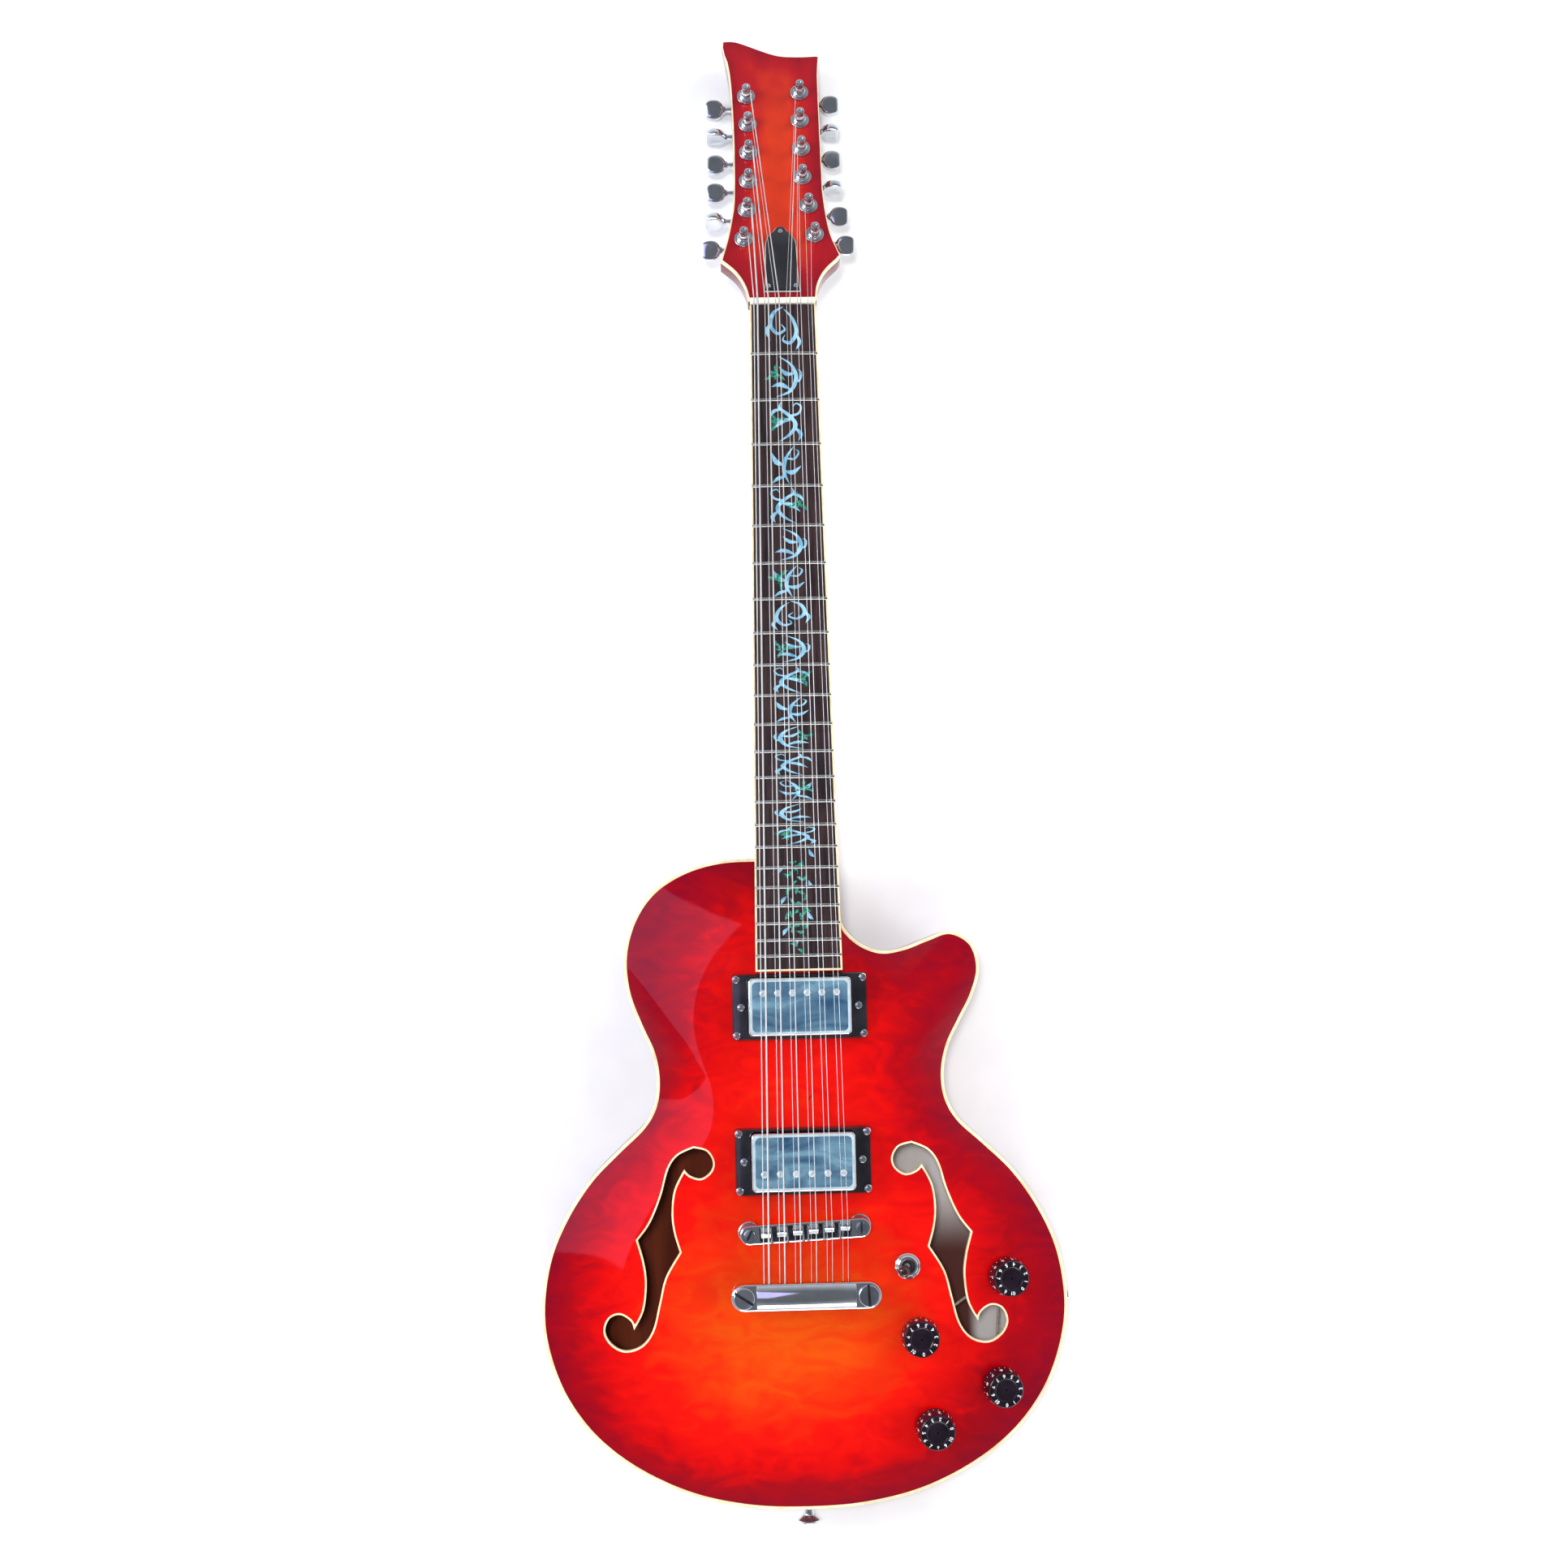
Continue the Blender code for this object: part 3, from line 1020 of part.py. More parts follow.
def build_harness():
    """The four potentiometers and the switch, soldered together by their wires."""
    under = -TOP_THICKNESS - GAP
    cans = []
    tubes = []
    bores = []
    ends = []
    for _, x, y in KNOB_PLACES:
        frame = top_frame(x, y)
        tube = [(POT_BUSHING_RADIUS, under - POT_HEIGHT / 2), (POT_BUSHING_RADIUS, POT_NUT_HEIGHT)]
        tubes.append(moved(turned(tube, TUNER_SIDES), frame))
        can = [(POT_RADIUS, under - POT_HEIGHT), (POT_RADIUS, under - POT_SEAT)]
        cans.append(moved(turned(can, POT_SIDES), frame))
        bores.append(moved(turned([(roomy(SHAFT_RADIUS), -TOP_THICKNESS - RUNNING),
                                   (roomy(SHAFT_RADIUS), 2 * POT_NUT_HEIGHT)], TUNER_SIDES), frame))
        ends.append(frame @ Vector((0.0, 0.0, under - POT_HEIGHT)))
    harness = solid("wiring_harness", *cans[0], POT_METAL)
    join(harness, solid("pot_cans", *merge(*cans[1:])))
    join(harness, solid("pot_bushings", *merge(*tubes)))
    frame = top_frame(*SWITCH_PLACE)
    barrel = moved(turned([
        (SWITCH_RADIUS, under - SWITCH_NUT_HEIGHT), (SWITCH_RADIUS, GAP), (SWITCH_NUT_RADIUS, GAP),
        (SWITCH_NUT_RADIUS, SWITCH_NUT_HEIGHT), (SWITCH_RADIUS, SWITCH_NUT_HEIGHT + GAP),
        (SWITCH_RADIUS, SWITCH_NUT_HEIGHT + 4 * GAP)], SWITCH_SIDES), frame)
    frame_box = moved(box(*SWITCH_BODY_HALF, under - SWITCH_DEPTH, under - POT_SEAT), frame)
    join(harness, solid("switch_barrel", *barrel))
    join(harness, solid("switch_frame", *frame_box))
    foot = frame @ Vector((0.0, 0.0, under - SWITCH_DEPTH + 2 * WIRE_RADIUS))
    runs = ((ends[0], ends[2]), (ends[1], ends[3]), (ends[0], ends[1]), (foot, ends[1]))
    for k, (start, end) in enumerate(runs):
        middle = (start + end) / 2 - Vector((0.0, 0.0, WIRE_SAG))
        join(harness, wire("pot_wire_" + str(k), [start, middle, end]))
    cut(harness, solid("pot_bores", *merge(*bores)))
    room = roomy(LEVER_BALL_REACH)
    floor = LEVER_PIVOT_Z - LEVER_BALL_REACH - GAP
    well = turned([(room / 2, floor - GAP), (room, floor), (room, LEVER_PIVOT_Z + LEVER_BALL_RADIUS / 2),
                   (LEVER_SLOT_RADIUS, SWITCH_NUT_HEIGHT + 5 * GAP)], TUNER_SIDES)
    cut(harness, solid("lever_well", *moved(well, frame)))


def wire(name, path):
    """A thin lead through a few points."""
    rings = []
    for i, p in enumerate(path):
        before = path[max(i - 1, 0)]
        after = path[min(i + 1, len(path) - 1)]
        turn = (Vector(after) - Vector(before)).to_track_quat("Z", "Y").to_matrix().to_4x4()
        place = Matrix.Translation(p) @ turn
        rings.append([place @ Vector((x, y, 0.0)) for x, y in circle(WIRE_RADIUS, 6)])
    return solid(name, *loft(rings))


def build_lever():
    """The switch lever with its plastic tip, leaning to one side at rest."""
    frame = top_frame(*SWITCH_PLACE) @ Matrix.Translation((0.0, 0.0, LEVER_PIVOT_Z))
    lean = Matrix.Rotation(LEVER_HEADING, 4, "Z") @ Matrix.Rotation(LEVER_REST_LEAN, 4, "Y")
    shape = turned([
        (0.5 * LEVER_BALL_RADIUS, -0.9 * LEVER_BALL_RADIUS),
        (LEVER_BALL_RADIUS, -LEVER_BALL_FLAT * LEVER_BALL_RADIUS),
        (LEVER_BALL_RADIUS, LEVER_BALL_FLAT * LEVER_BALL_RADIUS), (0.5 * LEVER_BALL_RADIUS, LEVER_BALL_RADIUS),
        (0.5 * LEVER_BALL_RADIUS, 0.40 * LEVER_LENGTH), (0.8 * LEVER_TIP_RADIUS, 0.42 * LEVER_LENGTH),
        (LEVER_TIP_RADIUS, 0.72 * LEVER_LENGTH), (0.8 * LEVER_TIP_RADIUS, 0.94 * LEVER_LENGTH),
        (0.4 * LEVER_TIP_RADIUS, LEVER_LENGTH)], TUNER_SIDES)
    solid("switch_lever", *shape, BLACK, None, frame @ lean)


def build_jack():
    """The output jack in the rim of the thin-string side."""
    inner_face = -SIDE_THICKNESS - GAP
    mouth = JACK_SEAT + JACK_NUT_THICKNESS + JACK_LIP
    profile = [
        (JACK_BODY_RADIUS, inner_face - JACK_BODY_LENGTH), (JACK_BODY_RADIUS, inner_face - JACK_BODY_GAP),
        (JACK_BARREL_RADIUS, inner_face - JACK_BODY_GAP), (JACK_BARREL_RADIUS, JACK_SEAT),
        (JACK_NUT_RADIUS, JACK_SEAT),
        (JACK_NUT_RADIUS, JACK_SEAT + JACK_NUT_THICKNESS), (JACK_BARREL_RADIUS, JACK_SEAT + JACK_NUT_THICKNESS),
        (JACK_BARREL_RADIUS, mouth), (JACK_SOCKET_RADIUS, mouth),
        (JACK_SOCKET_RADIUS, inner_face - JACK_BODY_LENGTH),
    ]
    solid("output_jack", *turned_tube(profile, JACK_SIDES), CHROME, None, JACK_FRAME)


def build_strap_buttons():
    """The two strap buttons, on the body's end and on the back of the heel."""
    shape = turned([
        (STRAP_SCREW_RADIUS, -STRAP_SCREW_LENGTH), (STRAP_SCREW_RADIUS, GAP), (BUTTON_BASE_RADIUS, GAP),
        (BUTTON_NECK_RADIUS, BUTTON_BASE_HEIGHT),
        (BUTTON_NECK_RADIUS, STRAP_BUTTON_HEIGHT - BUTTON_BASE_HEIGHT),
        (BUTTON_RIM_RADIUS, STRAP_BUTTON_HEIGHT - BUTTON_RIM_THICKNESS),
        (BUTTON_RIM_RADIUS, STRAP_BUTTON_HEIGHT)], JACK_SIDES)
    solid("strap_button_end", *shape, CHROME, None, END_BUTTON_FRAME)
    solid("strap_button_heel", *shape, CHROME, None, HEEL_BUTTON_FRAME)


cut_body_openings(*build_body())
pocket_reach = (ROD_NUT_LENGTH + ROD_WRENCH_ROOM + GAP) / 2
rod_nut_pocket = solid("rod_nut_pocket", *box(
    ROD_NUT_RADIUS + GAP, pocket_reach, ROD_Z - ROD_NUT_RADIUS - GAP, 0.0,
    (0.0, ROD_NUT_START - GAP + pocket_reach)), parent=neck_axis)
build_neck(rod_nut_pocket)
build_fretboard()
build_nut()
build_headstock_face(rod_nut_pocket)
build_truss_rod()
build_tuners()
build_pickups()
build_bridge()
build_tailpiece()
build_strings()
build_knobs()
build_harness()
build_lever()
build_jack()
build_strap_buttons()
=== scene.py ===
"""A thinline twelve-string electric guitar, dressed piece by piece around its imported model."""

import math

import bmesh
import bpy
import numpy as np
from mathutils import Matrix, Vector
from mathutils.kdtree import KDTree


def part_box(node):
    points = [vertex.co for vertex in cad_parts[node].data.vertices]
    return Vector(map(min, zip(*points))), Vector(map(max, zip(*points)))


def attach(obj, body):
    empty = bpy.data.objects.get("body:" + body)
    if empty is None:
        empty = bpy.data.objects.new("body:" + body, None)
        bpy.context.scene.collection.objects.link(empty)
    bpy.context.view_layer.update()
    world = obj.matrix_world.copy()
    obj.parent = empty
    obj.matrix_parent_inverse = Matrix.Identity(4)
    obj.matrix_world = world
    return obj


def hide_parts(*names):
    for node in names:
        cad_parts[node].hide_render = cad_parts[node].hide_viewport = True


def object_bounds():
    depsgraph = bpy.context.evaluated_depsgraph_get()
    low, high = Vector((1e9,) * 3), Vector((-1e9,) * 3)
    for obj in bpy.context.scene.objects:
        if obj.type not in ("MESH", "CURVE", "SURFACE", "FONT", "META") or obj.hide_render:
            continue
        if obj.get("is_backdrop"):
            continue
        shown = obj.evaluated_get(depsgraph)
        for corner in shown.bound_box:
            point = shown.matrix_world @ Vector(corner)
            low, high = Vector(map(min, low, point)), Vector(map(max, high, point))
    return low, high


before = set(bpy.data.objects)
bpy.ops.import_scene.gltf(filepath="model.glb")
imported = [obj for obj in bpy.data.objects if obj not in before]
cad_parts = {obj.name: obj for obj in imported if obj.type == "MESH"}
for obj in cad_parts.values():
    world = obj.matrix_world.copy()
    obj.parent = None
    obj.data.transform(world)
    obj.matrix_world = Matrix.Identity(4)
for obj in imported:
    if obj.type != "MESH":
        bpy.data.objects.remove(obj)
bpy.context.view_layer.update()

# The view: a camera held in front of the body, as in the photograph, a pale floor that carries the
# lower end of the back and the tuners, and large soft lights with one window on the left.

CAMERA_PLACE = (-0.055, 0.148, 1.525)
CAMERA_TILT, CAMERA_LEAN, CAMERA_ROLL = 4.49, -1.86, -1.11
LENS, SENSOR_WIDTH = 50.31, 36.0


def moved(x=0.0, y=0.0, z=0.0):
    return Matrix.Translation((x, y, z))


def spun(degrees, axis="Z"):
    return Matrix.Rotation(math.radians(degrees), 4, axis)


bpy.ops.object.camera_add()
camera = bpy.context.object
camera.name = "camera"
camera.data.sensor_width = SENSOR_WIDTH
camera.data.lens = LENS
camera.matrix_world = (moved(*CAMERA_PLACE)
                       @ spun(CAMERA_TILT, "X") @ spun(CAMERA_LEAN, "Y") @ spun(CAMERA_ROLL))
bpy.context.scene.camera = camera


def deselect():
    bpy.ops.object.select_all(action="DESELECT")


def pick(piece):
    """Makes one piece the selected and active one."""
    deselect()
    piece.select_set(True)
    bpy.context.view_layer.objects.active = piece


def finish_with(name, dark, light, scale=(60, 60, 60), gloss=(0.2, 0.3), relief=0.0, metallic=0.0,
                coat=0.0, specular=0.5, detail=5.0, spread=(0.35, 0.65), bend=0.0):
    """A finish whose stretched noise mixes two tones and varies the gloss and the relief."""
    material = bpy.data.materials.new(name)
    material.use_nodes = True
    nodes, links = material.node_tree.nodes, material.node_tree.links
    shader = nodes["Principled BSDF"]
    place = nodes.new("ShaderNodeTexCoord")
    stretch = nodes.new("ShaderNodeMapping")
    stretch.inputs["Scale"].default_value = scale
    noise = nodes.new("ShaderNodeTexNoise")
    noise.inputs["Scale"].default_value = 1.0
    noise.inputs["Detail"].default_value = detail
    noise.inputs["Distortion"].default_value = bend
    tones = nodes.new("ShaderNodeValToRGB")
    tones.name = "tones"
    tones.color_ramp.elements[0].position = spread[0]
    tones.color_ramp.elements[0].color = (*dark, 1.0)
    tones.color_ramp.elements[1].position = spread[1]
    tones.color_ramp.elements[1].color = (*light, 1.0)
    sheen = nodes.new("ShaderNodeMapRange")
    sheen.inputs["To Min"].default_value = gloss[0]
    sheen.inputs["To Max"].default_value = gloss[1]
    links.new(place.outputs["Object"], stretch.inputs["Vector"])
    links.new(stretch.outputs["Vector"], noise.inputs["Vector"])
    links.new(noise.outputs["Fac"], tones.inputs["Fac"])
    links.new(tones.outputs["Color"], shader.inputs["Base Color"])
    links.new(noise.outputs["Fac"], sheen.inputs["Value"])
    links.new(sheen.outputs["Result"], shader.inputs["Roughness"])
    if relief:
        bump = nodes.new("ShaderNodeBump")
        bump.inputs["Distance"].default_value = relief
        links.new(noise.outputs["Fac"], bump.inputs["Height"])
        links.new(bump.outputs["Normal"], shader.inputs["Normal"])
    shader.inputs["Metallic"].default_value = metallic
    shader.inputs["Specular IOR Level"].default_value = specular
    shader.inputs["Coat Weight"].default_value = coat
    shader.inputs["Coat Roughness"].default_value = 0.04
    return material


FLOOR_SIZE, FLOOR_TILT = 8.0, 2.78
FLOOR_PLACE = (0.0, -0.214, -0.0006)
floor_paper = finish_with("floor_paper", (0.86, 0.86, 0.86), (0.90, 0.90, 0.90), (30, 30, 30), (0.8, 0.9))
deselect()
bpy.ops.mesh.primitive_plane_add(size=FLOOR_SIZE)
floor = bpy.context.object
floor.name = "floor"
bpy.ops.object.mode_set(mode="EDIT")
bpy.ops.mesh.subdivide(number_cuts=4)
bpy.ops.object.mode_set(mode="OBJECT")
floor.data.transform(moved(*FLOOR_PLACE) @ spun(-FLOOR_TILT, "X"))
floor.data.materials.append(floor_paper)
floor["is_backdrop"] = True


def soft_light(name, place, target, size, energy, colour=(1.0, 1.0, 1.0), mirrored=True):
    """A square lamp that faces a point of the guitar, and shows in its lacquer and chrome or doesn't."""
    bpy.ops.object.light_add(type="AREA")
    lamp = bpy.context.object
    lamp.name = name
    lamp.data.shape = "RECTANGLE"
    lamp.data.size, lamp.data.size_y = size
    lamp.data.energy = energy
    lamp.data.color = colour
    lamp.visible_glossy = mirrored
    aim = Vector(target) - Vector(place)
    lamp.matrix_world = Matrix.Translation(place) @ aim.to_track_quat("-Z", "Y").to_matrix().to_4x4()


soft_light("window", (-2.0, 0.70, 1.05), (0.0, 0.1, 0.0), (1.0, 1.5), 46.0, (0.93, 0.97, 1.0))
soft_light("fill", (2.0, -0.5, 1.0), (0.0, 0.05, 0.0), (1.2, 1.0), 28.0, (1.0, 0.98, 0.95), False)
soft_light("above", (1.9, 2.0, 0.85), (0.0, 0.3, 0.0), (1.2, 0.8), 46.0, mirrored=False)
soft_light("below", (0.1, -2.2, 1.15), (0.0, 0.1, 0.0), (1.8, 0.8), 22.0)
soft_light("skylight", (-0.85, 0.45, 1.75), (0.0, 0.0, 0.0), (1.1, 1.3), 5.0, (0.62, 0.55, 1.0))
soft_light("overhead", (-0.20, 0.30, 2.30), (0.0, 0.0, 0.0), (0.25, 0.25), 20.0, mirrored=False)
world = bpy.data.worlds.new("studio_air")
world.use_nodes = True
nodes, links = world.node_tree.nodes, world.node_tree.links
way = nodes.new("ShaderNodeTexCoord")
height = nodes.new("ShaderNodeSeparateXYZ")
air = nodes.new("ShaderNodeValToRGB")
pale_level, dark_level = air.color_ramp.elements
pale_level.position, pale_level.color = 0.15, (0.80, 0.84, 0.90, 1.0)
dark_level.position, dark_level.color = 0.85, (0.15, 0.16, 0.18, 1.0)
links.new(way.outputs["Generated"], height.inputs[0])
links.new(height.outputs["Z"], air.inputs["Fac"])
links.new(air.outputs["Color"], nodes["Background"].inputs["Color"])
nodes["Background"].inputs["Strength"].default_value = 1.0
bpy.context.scene.world = world
bpy.context.scene.view_settings.view_transform = "Standard"

# Hollow back: back plate and bent sides glued up from laminated maple, in one outline with the top,
# lacquered dark cherry outside and left bare inside. Its back edge is rounded by a router.

RIM_HEIGHT = 0.045
ARCH_RISE = 0.010
ARCH_REACH = 0.5
SPINE_SHARE = 0.70
TOP_THICKNESS = 0.004
BACK_THICKNESS = 0.0045
SIDE_THICKNESS = 0.0055
EDGE_ROUNDING = 0.0025
BINDING_WIDTH = 0.0018
BLOCK_HALF_WIDTH = 0.042
GAP = 0.0003
BODY_END_Y = -0.2166
JACK_Y, JACK_Z, JACK_BORE = -0.085, 0.0205, 0.0049
PICKUP_CENTRES = (0.1144, 0.0126)
CAVITY_HALF_X, CAVITY_HALF_Y = 0.0352, 0.02
TOP_Z = RIM_HEIGHT + ARCH_RISE
SEAM_Z = RIM_HEIGHT - TOP_THICKNESS
BODY_LEFT = (
    (-0.0262, 0.2138), (-0.0460, 0.2134), (-0.0640, 0.2102), (-0.0800, 0.2042), (-0.0950, 0.1946),
    (-0.1065, 0.1810), (-0.1140, 0.1640), (-0.1170, 0.1450), (-0.1145, 0.1240), (-0.1070, 0.1035),
    (-0.0990, 0.0850),
)
BODY_HALF = (
    (-0.0962, 0.0680), (-0.0980, 0.0510), (-0.1060, 0.0365), (-0.1230, 0.0205), (-0.1420, 0.0015),
    (-0.1590, -0.0240), (-0.1705, -0.0520), (-0.1748, -0.0850), (-0.1706, -0.1140), (-0.1590, -0.1425),
    (-0.1390, -0.1685), (-0.1110, -0.1898), (-0.0760, -0.2060), (-0.0380, -0.2145),
)
BODY_RIGHT = (
    (0.1000, 0.0860), (0.1085, 0.1030), (0.1170, 0.1190), (0.1220, 0.1370), (0.1175, 0.1540),
    (0.1030, 0.1622), (0.0875, 0.1578), (0.0715, 0.1520), (0.0565, 0.1500), (0.0430, 0.1548),
    (0.0325, 0.1645), (0.0280, 0.1760), (0.0266, 0.1900), (0.0262, 0.2050),
)


def smooth_run(points, steps, closed=False):
    """Points on a smooth curve through the given ones, with so many steps in each span."""
    count = len(points)
    spans = count if closed else count - 1
    result = []
    for k in range(spans):
        near = [points[(k + i) % count] if closed else points[min(max(k + i, 0), count - 1)]
                for i in (-1, 0, 1, 2)]
        for step in range(steps):
            t = step / steps
            result.append(tuple(
                0.5 * (2 * b + (c - a) * t + (2 * a - 5 * b + 4 * c - d) * t * t
                       + (3 * b - a - 3 * c + d) * t ** 3)
                for a, b, c, d in zip(*near)))
    if not closed:
        result.append(points[-1])
    return result


def inset(outline, distance):
    """The outline drawn in by a distance, or by one for each point; it runs anticlockwise."""
    result = []
    steps = distance if isinstance(distance, list) else [distance] * len(outline)
    for i, (x, y) in enumerate(outline):
        (xa, ya), (xb, yb) = outline[i - 1], outline[(i + 1) % len(outline)]
        before = Vector((x - xa, y - ya)).normalized()
        after = Vector((xb - x, yb - y)).normalized()
        normal = Vector((-(before + after).y, (before + after).x)).normalized()
        spread = max(normal.dot(Vector((-before.y, before.x))), 0.5)
        result.append((x + normal.x * steps[i] / spread, y + normal.y * steps[i] / spread))
    # a point that overshoots a corner comes back to the last good one
    ends = np.array(outline)
    starts = np.roll(ends, 1, axis=0)
    spans = ends - starts
    lengths = np.maximum((spans ** 2).sum(axis=1), 1e-18)
    good = []
    for place, step in zip(np.array(result), steps):
        along = np.clip(((place - starts) * spans).sum(axis=1) / lengths, 0.0, 1.0)
        nearest = np.sqrt(((place - starts - spans * along[:, None]) ** 2).sum(axis=1).min())
        good.append(nearest > abs(step) * 0.98 - 1e-6)
    for i, kept in enumerate(good):
        if not kept:
            reach = range(-len(good) // 2, len(good) // 2)
            near = min((abs(k), k) for k in reach if good[(i + k) % len(good)])
            result[i] = result[(i + near[1]) % len(good)]
    return result


def skin(name, rings, hollow=False):
    """A disc laid on the first ring and extruded on to each next one; a hollow one closes on itself."""
    deselect()
    bpy.ops.mesh.primitive_circle_add(vertices=len(rings[0]), fill_type="NGON")
    shell = bpy.context.object
    shell.name = name
    shell.data.name = name
    for vertex, place in zip(shell.data.vertices, rings[0]):
        vertex.co = place
    bpy.ops.object.mode_set(mode="EDIT")
    bpy.ops.mesh.select_mode(type="FACE")
    bpy.ops.mesh.select_all(action="SELECT")
    order = list(range(len(rings[0])))
    for ring in rings[1:]:
        bpy.ops.mesh.extrude_region_move()
        sheet = bmesh.from_edit_mesh(shell.data)
        sheet.verts.ensure_lookup_table()
        sheet.verts.index_update()
        following = []
        for index, place in zip(order, ring):
            old = sheet.verts[index]
            new = next(e.other_vert(old) for e in old.link_edges if e.other_vert(old).select)
            new.co = place
            following.append(new.index)
        order = following
        bmesh.update_edit_mesh(shell.data)
    if hollow:
        sheet = bmesh.from_edit_mesh(shell.data)
        caps = [f for f in sheet.faces if len(f.verts) == len(rings[0])] if len(rings[0]) > 4 else []
        bmesh.ops.delete(sheet, geom=caps, context="FACES")
        bmesh.update_edit_mesh(shell.data)
    bpy.ops.mesh.select_all(action="SELECT")
    bpy.ops.mesh.remove_doubles(threshold=1e-6)
    bpy.ops.mesh.normals_make_consistent(inside=False)
    bpy.ops.object.mode_set(mode="OBJECT")
    return shell


def flat(outline, height):
    return [(x, y, height) for x, y in outline]


def plate(name, outline, low, high):
    """A plate cut to an outline, from one height to another."""
    return skin(name, [flat(outline, low), flat(outline, high)])


def circle(radius, sides):
    return [(radius * math.cos(2 * math.pi * i / sides), radius * math.sin(2 * math.pi * i / sides))
            for i in range(sides)]


def turned(name, profile, sides=32, hollow=False):
    """A turned piece about Z, from pairs of radius and height; a hollow one closes down its bore."""
    rings = [flat(circle(radius, sides), height) for radius, height in profile]
    return skin(name, rings + rings[:1] if hollow else rings, hollow)


def block_of(name, low, high):
    """A squared block between two corners, as a cutter or a start."""
    deselect()
    bpy.ops.mesh.primitive_cube_add(size=1.0)
    block = bpy.context.object
    block.name = name
    size = [h - l for l, h in zip(low, high)]
    middle = [(h + l) / 2 for l, h in zip(low, high)]
    block.data.transform(moved(*middle) @ Matrix.Diagonal((*size, 1.0)))
    return block


def worked(piece, tool, operation="DIFFERENCE"):
    """Cuts a piece with a tool that is thrown away afterwards, or joins the two."""
    step = piece.modifiers.new("work", "BOOLEAN")
    step.solver = "EXACT"
    step.operation = operation
    step.object = tool
    pick(piece)
    bpy.ops.object.modifier_apply(modifier=step.name)
    bpy.data.objects.remove(tool)
    return piece


def drilled(piece, radius, place, reach, sides):
    """Drills a round hole through a piece, along Z of a frame and as far on both sides of it."""
    drill = turned("drill", [(radius, -reach), (radius, reach)], sides)
    drill.data.transform(place)
    return worked(piece, drill)


def softened(piece, width, segments=2, angle=30.0):
    """Rounds every edge of a piece that is sharper than an angle."""
    step = piece.modifiers.new("soften", "BEVEL")
    step.width = width
    step.segments = segments
    step.limit_method = "ANGLE"
    step.angle_limit = math.radians(angle)
    pick(piece)
    bpy.ops.object.modifier_apply(modifier=step.name)
    return piece


def polished(piece, angle=30.0):
    """Shades a piece smooth, with its real corners left sharp."""
    pick(piece)
    bpy.ops.object.shade_smooth_by_angle(angle=math.radians(angle))
    return piece


def dressed(piece, material, body="guitar", nodes=(), place=None, angle=30.0):
    """Puts a piece in its place, and gives it its finish and the body that it moves with."""
    if place is not None:
        piece.data.transform(place)
    if material is not None:
        piece.data.materials.clear()
        piece.data.materials.append(material)
    polished(piece, angle)
    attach(piece, body)
    if nodes:
        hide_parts(*nodes)
    return piece


def body_outline(steps):
    """The body seen from the front, anticlockwise from the neck, binding included."""
    lower_right = [(-x, y) for x, y in reversed(BODY_HALF)]
    around = [*BODY_LEFT, *BODY_HALF, (0.0, BODY_END_Y), *lower_right, *BODY_RIGHT]
    return smooth_run([*around, (around[-1][0], around[0][1])], steps)


def arch_rise(share):
    return ARCH_RISE * (1 - (1 - min(share / ARCH_REACH, 1.0)) ** 2)


def arch_ring(outline, share, lift):
    """One level of the arched top: the outline drawn in towards the spine."""
    height = RIM_HEIGHT + arch_rise(share) + lift
    return [(x * (1 - share), y * (1 - SPINE_SHARE * share), height) for x, y in outline]


def rounded_foot(outline, radius, low, steps):
    """Levels of an outline whose lower edge a router has rounded."""
    turns = [step / steps * math.pi / 2 for step in range(steps + 1)]
    return [flat(inset(outline, radius * (1 - math.sin(turn))), low + radius * (1 - math.cos(turn)))
            for turn in turns]


OUTLINE = body_outline(7)
cherry_lacquer = finish_with("cherry_lacquer", (0.085, 0.001, 0.003), (0.165, 0.002, 0.003), (110, 9, 300),
                             (0.22, 0.30), 0.00001, coat=0.6, specular=0.25, bend=0.5, spread=(0.2, 0.8))
bare_wood = finish_with("bare_wood", (0.11, 0.018, 0.008), (0.24, 0.05, 0.022), (90, 7, 90), (0.6, 0.8),
                        0.0001, bend=0.4)
pale_wood = finish_with("pale_wood", (0.92, 0.86, 0.80), (1.0, 0.97, 0.94), (90, 7, 90), (0.55, 0.75),
                        0.0001, bend=0.4)
# under the right f-hole the inside wood is painted near white as painted light, and a brown band across the
# hole's middle is painted shade; the hole's upper and lower ends stay pale
nodes, links = pale_wood.node_tree.nodes, pale_wood.node_tree.links
axes = nodes.new("ShaderNodeSeparateXYZ")
links.new(nodes["Texture Coordinate"].outputs["Object"], axes.inputs["Vector"])
lit_ends = nodes.new("ShaderNodeMath")
lit_ends.operation = "MAXIMUM"
for number, (axis, low, high) in enumerate((("Y", -0.058, -0.012), ("X", 0.112, 0.121))):
    reach = nodes.new("ShaderNodeMapRange")
    reach.interpolation_type = "SMOOTHSTEP"
    reach.inputs["From Min"].default_value = low
    reach.inputs["From Max"].default_value = high
    links.new(axes.outputs[axis], reach.inputs["Value"])
    links.new(reach.outputs["Result"], lit_ends.inputs[number])
painted_shade = nodes.new("ShaderNodeMix")
painted_shade.data_type = "RGBA"
painted_shade.inputs[6].default_value = (0.16, 0.055, 0.045, 1.0)
links.new(lit_ends.outputs["Value"], painted_shade.inputs[0])
links.new(nodes["tones"].outputs["Color"], painted_shade.inputs[7])
links.new(painted_shade.outputs[2], nodes["Principled BSDF"].inputs["Base Color"])
back = skin("back_and_sides", [*rounded_foot(OUTLINE, EDGE_ROUNDING, 0.0, 4), flat(OUTLINE, SEAM_Z - GAP)])
chambers = plate("chambers", inset(OUTLINE, SIDE_THICKNESS), BACK_THICKNESS, RIM_HEIGHT)
worked(chambers, block_of("spine", (-BLOCK_HALF_WIDTH, -0.4, 0.0), (BLOCK_HALF_WIDTH, 0.4, 0.1)))
worked(back, chambers)
drilled(back, JACK_BORE, moved(0.17, JACK_Y, JACK_Z) @ spun(90, "Y"), 0.01, 24)
